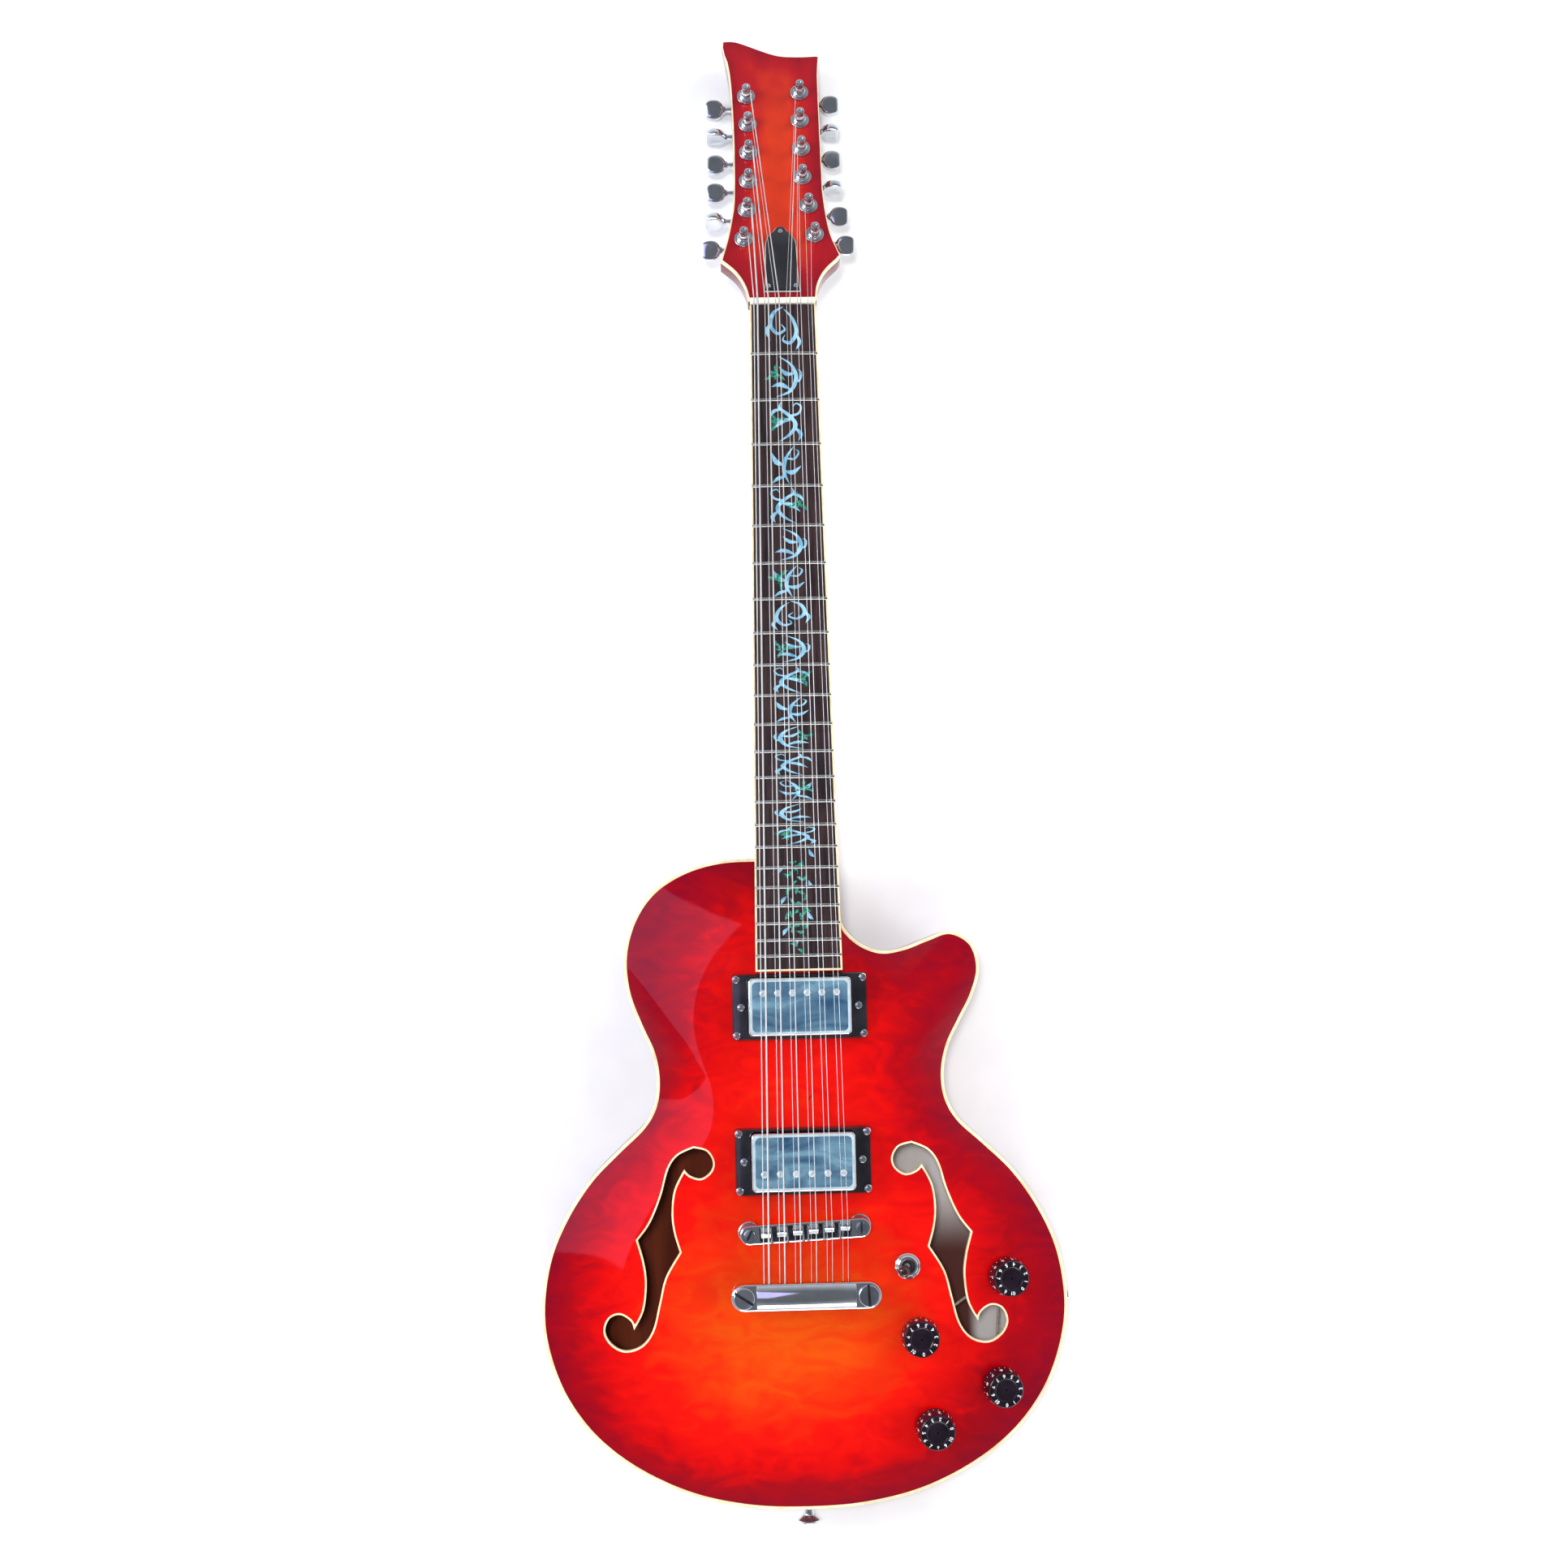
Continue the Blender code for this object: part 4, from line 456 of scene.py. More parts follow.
dressed(back, cherry_lacquer, nodes=["body_back"])
back.data.materials.append(bare_wood)
back.data.materials.append(pale_wood)
# the inside faces take the bare wood on the left, and on the right the near-white wood with its brown band:
# painted light and painted shade as seen through the right f-hole
for face in back.data.polygons:
    x, y, z = face.center
    if z > BACK_THICKNESS - 0.0005 and (face.normal.z > 0.5 or Vector((x, y)).dot(face.normal.xy) < 0):
        face.material_index = 2 if x > 0 else 1

# The centre block: solid maple from end to end under the spine of the top, which carries the studs,
# the pickups and the neck. It is glued between back and top and shows only through the f-holes.

def cavity(centre, low):
    return block_of("cavity", (-CAVITY_HALF_X, centre - CAVITY_HALF_Y, low),
                    (CAVITY_HALF_X, centre + CAVITY_HALF_Y, 0.08))


inner_outline = inset(OUTLINE, SIDE_THICKNESS + GAP)
block = skin("centre_block", [flat(inner_outline, BACK_THICKNESS + 0.0001)] + [
    arch_ring(inner_outline, share, -TOP_THICKNESS - GAP) for share in (0.0, 0.12, 0.28, 0.5)])
worked(block, block_of("strip", (-BLOCK_HALF_WIDTH, -0.4, 0.0), (BLOCK_HALF_WIDTH, 0.4, 0.1)), "INTERSECT")
for centre in PICKUP_CENTRES:
    worked(block, cavity(centre, 0.031))
worked(block, block_of("pocket", (-0.0193, 0.15, 0.018), (0.0193, 0.25, 0.06)))
dressed(block, bare_wood)

# Top: an arched plate of figured maple, book-matched along the middle, sprayed with a sunburst from
# orange to dark crimson and lacquered to a mirror. The two f-holes are sawn through it.

F_HOLE_RUNS = (
    ((0.0725, 0.0222), (0.0830, 0.0174), (0.0895, 0.0085), (0.0945, -0.0085), (0.1020, -0.0260),
     (0.1105, -0.0375)),
    ((0.1105, -0.0375), (0.1065, -0.0520), (0.1050, -0.0660), (0.1072, -0.0830), (0.1138, -0.0958)),
    ((0.1138, -0.0958), (0.1160, -0.0900), (0.1230, -0.0858), (0.1300, -0.0883), (0.1330, -0.0965),
     (0.1290, -0.1045), (0.1200, -0.1092), (0.1090, -0.1060), (0.1015, -0.0960), (0.0970, -0.0790),
     (0.0925, -0.0620), (0.0828, -0.0458)),
    ((0.0828, -0.0458), (0.0865, -0.0330), (0.0878, -0.0200), (0.0858, -0.0050), (0.0790, 0.0083)),
    ((0.0790, 0.0083), (0.0753, 0.0043), (0.0680, 0.0022), (0.0615, 0.0065), (0.0599, 0.0130),
     (0.0640, 0.0198), (0.0725, 0.0222)),
)
F_BINDING = 0.0012
SWITCH_PLACE, SWITCH_BORE, POT_BORE = (0.0678, -0.0585), 0.0061, 0.0050
KNOB_PLACES = {"neck_volume": (0.1337, -0.0671), "bridge_volume": (0.0748, -0.1043),
               "neck_tone": (0.1281, -0.1382), "bridge_tone": (0.0830, -0.1637)}


def cornered_run(runs, steps):
    """Smooth curves one after another, with a sharp corner where two of them meet."""
    return [point for run in runs for point in smooth_run(run, steps)[:-1]]


def f_hole(side, steps):
    """The outline of an f-hole, anticlockwise, on the left or the right."""
    outline = [(side * x, y) for x, y in cornered_run(F_HOLE_RUNS, steps)]
    area = sum(xa * yb - xb * ya for (xa, ya), (xb, yb) in zip(outline[-1:] + outline[:-1], outline))
    return outline if area > 0 else outline[::-1]


def inside(outline, x, y):
    result = False
    for i, (xb, yb) in enumerate(outline):
        xa, ya = outline[i - 1]
        if (ya > y) != (yb > y) and x < xa + (y - ya) * (xb - xa) / (yb - ya):
            result = not result
    return result


COARSE_OUTLINE = body_outline(2)


def top_height(x, y):
    """The height of the arched top above the back, at a place on the body."""
    low, high = 0.0, ARCH_REACH
    for _ in range(20):
        middle = (low + high) / 2
        if inside(COARSE_OUTLINE, x / (1 - middle), y / (1 - SPINE_SHARE * middle)):
            low = middle
        else:
            high = middle
    return RIM_HEIGHT + arch_rise(high)


def top_frame(x, y):
    """A frame standing on the arched top, with Z square to it."""
    reach = TOP_THICKNESS
    slope_x = (top_height(x + reach, y) - top_height(x - reach, y)) / (2 * reach)
    slope_y = (top_height(x, y + reach) - top_height(x, y - reach)) / (2 * reach)
    normal = Vector((-slope_x, -slope_y, 1.0)).normalized()
    turn = normal.to_track_quat("Z", "Y").to_matrix().to_4x4()
    return moved(x, y, top_height(x, y)) @ turn


def sprayed(name, scale, gloss, figure_strength, bend, spread, edge, middle, between):
    """Lacquered, figured wood, dyed from an edge colour to a middle one by the piece's "burst" levels."""
    material = finish_with(name, (0.0, 0.0, 0.0), (1.0, 1.0, 1.0), scale, gloss, 0.000015, coat=0.8,
                           specular=0.0, detail=6.0, bend=bend, spread=spread)
    nodes, links = material.node_tree.nodes, material.node_tree.links
    spray = nodes.new("ShaderNodeAttribute")
    spray.attribute_name = "burst"
    figure = nodes.new("ShaderNodeMath")
    figure.operation = "MULTIPLY_ADD"
    figure.inputs[1].default_value = figure_strength
    dye = nodes.new("ShaderNodeValToRGB")
    stops = dye.color_ramp.elements
    stops[0].color, stops[1].color = (*edge, 1.0), (*middle, 1.0)
    for position, colour in between:
        stop = stops.new(position)
        stop.color = (*colour, 1.0)
    links.new(nodes["tones"].outputs["Color"], figure.inputs[0])
    links.new(spray.outputs["Fac"], figure.inputs[2])
    links.new(figure.outputs["Value"], dye.inputs["Fac"])
    links.new(dye.outputs["Color"], nodes["Principled BSDF"].inputs["Base Color"])
    return material


sunburst = sprayed("sunburst_top", (34, 62, 34), (0.16, 0.24), 0.17, 1.6, (0.30, 0.72),
                   (0.17, 0.0, 0.010), (0.68, 0.070, 0.001),
                   ((0.25, (0.31, 0.0, 0.004)), (0.42, (0.56, 0.0006, 0.001)),
                    (0.60, (0.72, 0.004, 0.0006)), (0.80, (0.68, 0.026, 0.0006))))
TOP_OUTLINE = inset(OUTLINE, BINDING_WIDTH)
under = [arch_ring(TOP_OUTLINE, share, -TOP_THICKNESS) for share in (0.9, 0.5, 0.4, 0.28, 0.12, 0.0)]
over = [arch_ring(TOP_OUTLINE, share, 0.0) for share in (
    *[level / 50 for level in range(25)], 0.5, 0.55, 0.6, 0.66, 0.72, 0.78, 0.84, 0.9, 0.95)]
top = skin("arched_top", under + over)
for side in (-1, 1):
    worked(top, plate("f_hole", inset(f_hole(side, 8), -F_BINDING), 0.02, 0.08))
for centre in PICKUP_CENTRES:
    worked(top, cavity(centre, 0.03))
for (x, y), radius in ((SWITCH_PLACE, SWITCH_BORE), *[(place, POT_BORE) for place in KNOB_PLACES.values()]):
    drilled(top, radius, moved(x, y, 0.05), 0.03, 40)
dressed(top, sunburst, nodes=["body_top"])
BURST_EDGE, BURST_FLAT, BURST_REACH = 0.02, 0.38, 0.030
BURST_SPOTS = (
    (0.50, (-0.010, -0.100), (0.105, 0.075)), (0.16, (-0.03, 0.04), (0.08, 0.08)),
    (-0.20, (-0.105, 0.150), (0.055, 0.085)), (-0.12, (-0.15, -0.10), (0.04, 0.09)),
    (-0.14, (0.10, 0.09), (0.05, 0.10)), (-0.16, (0.13, -0.15), (0.07, 0.07)),
    (-0.10, (0.16, -0.03), (0.05, 0.09)), (-0.08, (0.0, -0.215), (0.13, 0.03)),
)


def hill(x, y, centre, reach):
    """How strongly a soft spot of the spray reaches a place, from 0 to 1."""
    return math.exp(-((x - centre[0]) / reach[0]) ** 2 - ((y - centre[1]) / reach[1]) ** 2)


def spray_level(x, y, edge):
    """The top's dye, from 0 at its rim to 1 in its middle, at a distance from the rim."""
    spots = sum(strength * hill(x, y, centre, reach) for strength, centre, reach in BURST_SPOTS)
    return BURST_EDGE + BURST_FLAT * (1 - math.exp(-edge / BURST_REACH)) + spots


def marked(piece, outline, level_at):
    """Keeps the level of the sprayed dye on each point of a piece that lies inside an outline."""
    rim = KDTree(len(outline))
    for i, (x, y) in enumerate(outline):
        rim.insert((x, y, 0.0), i)
    rim.balance()
    burst = piece.data.attributes.new("burst", "FLOAT", "POINT")
    for vertex in piece.data.vertices:
        x, y, _ = vertex.co
        level = level_at(x, y, rim.find((x, y, 0.0))[2])
        burst.data[vertex.index].value = min(max(level, 0.0), 1.0)


marked(top, OUTLINE, spray_level)

# Bindings: cream celluloid strips, bent and glued into a rebate round the top's edge and round both
# f-holes, then scraped level with the lacquer.

cream = finish_with("cream_binding", (0.76, 0.60, 0.34), (0.88, 0.75, 0.50), (120, 120, 120), (0.22, 0.34),
                    coat=0.6)
shader = cream.node_tree.nodes["Principled BSDF"]
shader.inputs["Subsurface Weight"].default_value = 0.1
shader.inputs["Subsurface Radius"].default_value = (0.002, 0.0015, 0.001)
strip = skin("body_binding_strip", [flat(inset(OUTLINE, sink), z) for sink, z in (
    (-0.0001, SEAM_Z), (-0.0001, RIM_HEIGHT - 0.0004), (0.0004, RIM_HEIGHT + 0.00005),
    (BINDING_WIDTH, RIM_HEIGHT + 0.00005), (BINDING_WIDTH, SEAM_Z), (-0.0001, SEAM_Z))], hollow=True)
worked(strip, block_of("heel", (-0.0262, 0.2, 0.03), (0.0262, 0.25, 0.06)))
dressed(strip, cream, nodes=["body_binding"])
for side, label in ((-1, "left"), (1, "right")):
    edge = f_hole(side, 8)
    wide = inset(edge, -F_BINDING)
    rings = [[(x, y, top_height(x, y) + lift) for x, y in outline] for outline, lift in (
        (wide, -TOP_THICKNESS), (wide, 0.00003), (inset(edge, -F_BINDING / 2), 0.00012),
        (edge, 0.00003), (edge, -TOP_THICKNESS), (wide, -TOP_THICKNESS))]
    dressed(skin("f_hole_binding_" + label, rings, hollow=True), cream)

# Neck: mahogany, carved to a round back that runs out into the heel, with a tenon glued into the
# centre block. The headstock is the same wood, tilted back; both are lacquered like the sides.

SCALE_LENGTH = 0.628
FRET_COUNT = 22
NECK_ANGLE = math.radians(3.5)


def fret_place(number):
    """How far a fret lies from the nut."""
    return SCALE_LENGTH * (1 - 2 ** (-number / 12))


BOARD_END = fret_place(FRET_COUNT) + 0.01022
BOARD_END_Y = 0.138
BOARD_END_Z = RIM_HEIGHT + 0.018
BOARD_THICKNESS = 0.0060
BOARD_RADIUS = 0.305
NUT_HALF_WIDTH = 0.0230
BOARD_END_HALF_WIDTH = 0.0290
HEAD_ANGLE = math.radians(13.0)
HEAD_THICKNESS = 0.0132
HEAD_ROUNDING = 0.0018
OVERLAY_THICKNESS = 0.0020
VENEER_BACK = -0.0034
HEAD_BACK = -(OVERLAY_THICKNESS + HEAD_THICKNESS)
NECK_FRAME = moved(0.0, BOARD_END_Y + BOARD_END * math.cos(NECK_ANGLE),
                   BOARD_END_Z - BOARD_END * math.sin(NECK_ANGLE)) @ Matrix.Rotation(-NECK_ANGLE, 4, "X")
HEAD_FRAME = NECK_FRAME @ moved(0.0, 0.0052, -0.0026) @ Matrix.Rotation(-HEAD_ANGLE, 4, "X")
NECK_STATIONS = (
    (-0.0140, 0.0120), (-0.004, 0.0124), (0.012, 0.0150), (0.200, 0.0162), (BOARD_END - 0.127, 0.0175),
    (BOARD_END - 0.110, 0.0200), (BOARD_END - 0.096, 0.0270), (BOARD_END - 0.086, 0.0350),
    (BOARD_END - 0.075, 0.0430), (BOARD_END - 0.062, 0.0430), (BOARD_END, 0.0430),
)
HEAD_RUNS = (
    ((-0.0238, 0.0000), (-0.0256, 0.0085), (-0.0293, 0.0170), (-0.0342, 0.0240), (-0.0424, 0.0318)),
    ((-0.0424, 0.0318), (-0.0381, 0.0477), (-0.0347, 0.0651), (-0.0325, 0.0825), (-0.0318, 0.1187),
     (-0.0319, 0.1458), (-0.0327, 0.1750), (-0.0342, 0.1950), (-0.0382, 0.2200)),
    ((-0.0382, 0.2200), (-0.0310, 0.2203), (-0.0240, 0.2184), (-0.0100, 0.2120), (-0.0020, 0.2086),
     (0.0060, 0.2066), (0.0200, 0.2061), (0.0325, 0.2068)),
    ((0.0325, 0.2068), (0.0312, 0.1900), (0.0310, 0.1564), (0.0312, 0.1010), (0.0314, 0.0882),
     (0.0328, 0.0708), (0.0354, 0.0535), (0.0397, 0.0404), (0.0416, 0.0352)),
    ((0.0416, 0.0352), (0.0394, 0.0318), (0.0327, 0.0248), (0.0281, 0.0179), (0.0249, 0.0094),
     (0.0238, 0.0000)),
)


def board_half_width(place):
    share = min(max(place / BOARD_END, 0.0), 1.0)
    return NUT_HALF_WIDTH + (BOARD_END_HALF_WIDTH - NUT_HALF_WIDTH) * share


def crown(x):
    """How far the rounded fretboard falls away beside its centre line."""
    return x * x / (2 * BOARD_RADIUS)


def neck_ring(place, depth):
    """A D-shaped slice of the neck under the fretboard."""
    half = board_half_width(place)
    low = -BOARD_THICKNESS - GAP
    sides = 28
    return [(half * math.cos(math.pi * i / sides), -place,
             low - depth * math.sin(math.pi * i / sides) ** 0.8) for i in range(sides + 1)]


def copied(piece, name, place=None):
    """A copy of a piece with its own mesh, moved into place."""
    twin = piece.copy()
    twin.data = piece.data.copy()
    twin.name = name
    bpy.context.collection.objects.link(twin)
    if place is not None:
        twin.data.transform(place)
    return twin


neck = skin("neck_wood", [neck_ring(place, depth) for place, depth in smooth_run(NECK_STATIONS, 5)])
tenon = block_of("tenon", (-0.019, -(BOARD_END - 0.012), -0.036), (0.019, -(BOARD_END - 0.083), -0.0066))
for part in (neck, tenon):
    part.data.transform(NECK_FRAME)
shoulder_line = inset(COARSE_OUTLINE, -GAP)
worked(neck, skin("shoulder", [flat(shoulder_line, -0.01)] + [
    arch_ring(shoulder_line, share / 20, GAP) for share in range(11)]))
worked(neck, tenon, "UNION")
dressed(neck, cherry_lacquer, nodes=["neck"])
HEAD_OUTLINE = [*cornered_run(HEAD_RUNS, 4), HEAD_RUNS[-1][-1]][::-1]
core = skin("headstock_core", [*rounded_foot(HEAD_OUTLINE, HEAD_ROUNDING, HEAD_BACK, 3),
                               flat(HEAD_OUTLINE, VENEER_BACK)])
dressed(core, cherry_lacquer, place=HEAD_FRAME)

# Headstock face: a maple veneer sprayed crimson at its edge and orange-red in the middle, inside a
# cream binding that shows as a line down both sides and as a band on the lower curves.

head_face = sprayed("crimson_head_face", (60, 9, 60), (0.16, 0.26), 0.22, 0.8, (0.35, 0.65),
                    (0.19, 0.0008, 0.009), (0.56, 0.030, 0.006), ((0.45, (0.34, 0.004, 0.009)),))


def edge_width(x, y):
    """The binding shows widest on the left side and hardly at all on the top."""
    if y > 0.2035 and -0.0375 < x < 0.032:
        return 0.0001
    return 0.0011 if x < 0 or y < 0.034 else 0.0006


FACE_OUTLINE = inset(HEAD_OUTLINE, [edge_width(x, y) for x, y in HEAD_OUTLINE])
bound_low = VENEER_BACK + 0.0001
binding = skin("headstock_binding", [flat(HEAD_OUTLINE, bound_low), flat(HEAD_OUTLINE, -0.0002),
                                     flat(inset(HEAD_OUTLINE, 0.0001), 0.0),
                                     flat(inset(FACE_OUTLINE, -0.00002), 0.0),
                                     flat(inset(FACE_OUTLINE, -0.00002), bound_low),
                                     flat(HEAD_OUTLINE, bound_low)], hollow=True)
dressed(binding, cream, place=HEAD_FRAME)
face_shares = (0.0, 0.12, 0.25, 0.4, 0.55, 0.7, 0.85)
middle_y = 0.115
face = skin("headstock_face", [flat(FACE_OUTLINE, bound_low)] + [
    [(x * (1 - share), middle_y + (y - middle_y) * (1 - share * 0.8), 0.0) for x, y in FACE_OUTLINE]
    for share in face_shares])
dressed(face, head_face, nodes=["headstock_overlay"])
marked(face, HEAD_OUTLINE, lambda x, y, edge: min(edge / 0.024, 1.0) * (
    0.55 + 0.45 * hill(x, y, (0.004, 0.09), (0.03, 0.075))))
face.data.transform(HEAD_FRAME)

# Fretboard: rosewood with a rounded face, bound in cream on three sides. Twenty-two nickel-silver
# wires are hammered into slots across it, and their ends are dressed flush with the binding.

rosewood = finish_with("rosewood", (0.010, 0.005, 0.006), (0.045, 0.022, 0.020), (420, 9, 420), (0.38, 0.55),
                       0.00008, detail=8.0, bend=0.4)
nickel = finish_with("fret_wire", (0.55, 0.56, 0.52), (0.72, 0.72, 0.68), (200, 200, 200), (0.16, 0.30),
                     metallic=1.0)
BOARD_BINDING = 0.0013
DARK_END = BOARD_END - BOARD_BINDING


def board_ring(place, first, last, lift=0.0, steps=12):
    """A slice of the fretboard between two places across it, with its rounded top."""
    across = [first + (last - first) * i / steps for i in range(steps + 1)]
    return ([(last, -place, -BOARD_THICKNESS), (first, -place, -BOARD_THICKNESS)]
            + [(x, -place, lift - crown(x)) for x in across])


halves = [board_half_width(place) for place in (0.0, DARK_END, BOARD_END)]
board = skin("board_wood", [board_ring(place, -half + BOARD_BINDING, half - BOARD_BINDING)
                            for place, half in ((0.0, halves[0]), (DARK_END, halves[1]))])
dressed(board, rosewood, nodes=["fretboard"], place=NECK_FRAME)
for side, label in ((-1, "bass"), (1, "treble")):
    rings = []
    for place, half in ((0.0, halves[0]), (BOARD_END, halves[2])):
        ends = sorted((side * half, side * (half - BOARD_BINDING)))
        rings.append(board_ring(place, *ends, 0.00004, 2))
    edge = softened(skin("board_binding_" + label, rings), 0.0002, 2, 60)
    dressed(edge, cream, place=NECK_FRAME)
end_half = halves[1] - BOARD_BINDING
end_strip = skin("board_binding_end", [board_ring(place, -end_half, end_half, 0.00004)
                                       for place in (DARK_END, BOARD_END)])
dressed(end_strip, cream, place=NECK_FRAME)

FRET_HEIGHT = 0.0011
FRET_HALF_WIDTH = 0.0011
profile = [(FRET_HALF_WIDTH * math.cos(math.pi * i / 8), FRET_HEIGHT * math.sin(math.pi * i / 8) ** 0.75)
           for i in range(9)]
wire_rings = []
for i in range(21):
    x = BOARD_END_HALF_WIDTH * (i / 10 - 1)
    taper = 0.55 if i in (0, 20) else 1.0
    wire_rings.append([(x, y, z * taper - crown(x) - 0.00002) for y, z in profile])
wire = skin("fret_model", wire_rings)
for number in range(1, FRET_COUNT + 1):
    place = fret_place(number)
    squeeze = (board_half_width(place) - GAP) / BOARD_END_HALF_WIDTH
    fret = copied(wire, "fret_%d" % number)
    for vertex in fret.data.vertices:
        x = vertex.co.x
        vertex.co = (x * squeeze, vertex.co.y - place, vertex.co.z + crown(x) - crown(x * squeeze))
    dressed(fret, nickel, place=NECK_FRAME)
bpy.data.objects.remove(wire)

# Inlay: a scrolling vine sawn from pale blue pearl shell, with blossoms of green abalone. The pieces
# are glued into pockets routed in the board and sanded flush with it.

pearl = finish_with("pearl", (0.13, 0.34, 0.50), (0.34, 0.64, 0.80), (120, 60, 120), (0.12, 0.3),
                    coat=0.5, bend=2.0)
abalone = finish_with("abalone", (0.006, 0.030, 0.045), (0.42, 0.30, 0.40), (210, 150, 210), (0.1, 0.3),
                      coat=0.6, bend=3.0)
for position, colour in ((0.42, (0.008, 0.13, 0.10, 1.0)), (0.52, (0.03, 0.42, 0.22, 1.0)),
                         (0.60, (0.02, 0.20, 0.24, 1.0))):
    stop = abalone.node_tree.nodes["tones"].color_ramp.elements.new(position)
    stop.color = colour


SHELL_DEPTH = 0.0003
THINNEST_SLIVER = 0.12


def ribbon(points, widths, steps=4):
    """A flat sliver of shell along a curved line, in millimetres, with its width given at each point."""
    line = smooth_run([(x, y, w) for (x, y), w in zip(points, widths)], steps)
    rings = []
    for i, (x, y, width) in enumerate(line):
        (ax, ay, _), (bx, by, _) = line[max(i - 1, 0)], line[min(i + 1, len(line) - 1)]
        half = max(width, THINNEST_SLIVER) / 2 / math.hypot(bx - ax, by - ay)
        edges = [((x + side * (ay - by) * half) / 1000, (y + side * (bx - ax) * half) / 1000)
                 for side in (-1, 1)]
        rings.append([(*edges[0], -SHELL_DEPTH), (*edges[1], -SHELL_DEPTH),
                      (*edges[1], 0.0), (*edges[0], 0.0)])
    return skin("sliver", rings)


def joined(pieces, name):
    deselect()
    for piece in pieces:
        piece.select_set(True)
    bpy.context.view_layer.objects.active = pieces[0]
    bpy.ops.object.join()
    pieces[0].name = name
    return pieces[0]


SPRIGS = (
    (((-6, 1), (4, 5), (8.2, 14), (5, 23), (-4, 29)), (0.3, 2.2, 2.9, 1.9, 0.2)),
    (((4, 6), (-3, 9.5), (-9.5, 8)), (0.8, 3.3, 0.1)),
    (((7, 17), (1, 17), (-4, 22)), (0.8, 3.0, 0.1)),
    (((7.5, 11), (11, 13), (11.8, 18), (9.3, 20)), (1.8, 1.3, 1.0, 0.2)),
), (
    (((5, 0.5), (-3, 6), (-7, 13), (-2, 20), (4, 25), (3, 29.5)), (0.2, 2.2, 2.8, 2.4, 1.8, 0.2)),
    (((-6, 11), (-10.5, 6), (-8.5, 1)), (0.8, 3.0, 0.1)),
    (((-5, 17), (2, 15.5), (8.5, 10)), (0.8, 3.4, 0.1)),
    (((-2.5, 19), (-9, 21), (-11, 26), (-7.5, 28.4), (-5.4, 25.6)), (1.8, 1.6, 1.3, 1.0, 0.3)),
    (((3, 24), (8, 23), (11, 18)), (0.8, 2.4, 0.1)),
), (
    (((0, 29.5), (-7, 25.5), (-9.2, 17.5), (-4.5, 12), (1, 14.5), (-1.6, 18)),
     (0.3, 2.4, 2.6, 2.0, 1.4, 0.3)),
    (((0.5, 28), (6.5, 22), (9.2, 13), (5, 6), (-0.5, 7.5), (1.0, 11)), (0.3, 2.0, 2.6, 2.2, 1.4, 0.3)),
    (((8.6, 12), (11.4, 6.5), (8.4, 1)), (0.8, 2.6, 0.1)),
    (((-8.4, 19.5), (-12, 14), (-9.6, 7.5)), (0.8, 2.6, 0.1)),
), (
    (((-5, 29), (0.5, 20), (2, 10), (-1.5, 0.5)), (0.3, 2.3, 2.5, 0.3)),
    (((1, 15), (7, 17), (10.5, 25)), (0.8, 3.7, 0.1)),
    (((1.8, 10.5), (-4, 9), (-10, 14)), (0.8, 3.4, 0.1)),
    (((1, 6), (6, 4.5), (10.5, 0.6)), (0.8, 2.8, 0.1)),
    (((0, 20), (-5.5, 19.5), (-8.5, 24.5), (-6.4, 27)), (1.4, 1.5, 1.2, 0.3)),
)
sprigs = [joined([ribbon(points, widths) for points, widths in slivers], "sprig") for slivers in SPRIGS]
petal = ribbon(((0.6, 0.0), (2.2, 0.7), (4.3, 0.2)), (0.7, 2.5, 0.3), 3)
spare_leaf = ribbon(((-3.4, 0.0), (-0.4, 0.8), (3.4, -0.2)), (0.1, 2.6, 0.1), 3)
blossom = joined([copied(petal, "petal", spun(72 * k + 10)) for k in range(5)]
                 + [copied(spare_leaf, "leaf", spun(turn) @ moved(0.0062))
                    for turn in (35, 165, 290)], "blossom")


def let_in(model, place, shift, size, turn=0.0):
    """Sets a copy of a flat model into the fretboard at a distance from the nut, following its crown."""
    twin = copied(model, "shell", spun(turn))
    for vertex in twin.data.vertices:
        x = shift + vertex.co.x * size[0]
        vertex.co = (x, -place + vertex.co.y * size[1], vertex.co.z + 0.00005 - crown(x))
    if size[0] * size[1] < 0:
        twin.data.flip_normals()
    return twin


SPRIG_ORDER = (2, 0, 1, 3, 1, 0, 3, 2, 0, 1, 3, 0, 1, 3, 0, 1)
BLOSSOM_SPACES = (1, 2, 4, 6, 8, 9, 11, 13, 15)
SPRIG_LENGTH = 0.030
CLUSTER_LEAVES, CLUSTER_HALF_X, CLUSTER_HALF_Y = 34, 0.0085, 0.0330
vine, blossoms = [], []
for space, kind in enumerate(SPRIG_ORDER):
    start, end = fret_place(space) + 0.0012, fret_place(space + 1) - 0.0010
    way = 1 if space % 4 < 2 else -1
    vine.append(let_in(sprigs[kind], end, 0.0, (way * (0.96 + 0.012 * space), (end - start) / SPRIG_LENGTH)))
    if space in BLOSSOM_SPACES:
        side = -way if kind == 0 else way
        blossoms.append(let_in(blossom, start + (end - start) * (0.42 + 0.03 * (space % 3)), side * 0.0068,
                               (0.85, min(0.85, (end - start) / 0.026)), 40 * space))
for k in range(CLUSTER_LEAVES):
    turn = 137.5 * k
    reach = math.sqrt((k + 0.5) / CLUSTER_LEAVES)
    shift = CLUSTER_HALF_X * reach * math.cos(math.radians(turn))
    along = CLUSTER_HALF_Y * reach * math.sin(math.radians(turn))
    blossoms.append(let_in(spare_leaf, fret_place(19) - 0.0010 + along, shift, (0.80, 0.80), 75 * k + turn))
for k in range(6):
    side = (-1) ** k
    vine.append(let_in(spare_leaf, fret_place(16) + 0.0045 + 0.0105 * k, side * (0.0102 - 0.0004 * k),
                       (0.95, 0.95), 90 + side * 35))
dressed(joined(vine, "pearl_vine"), pearl, place=NECK_FRAME)
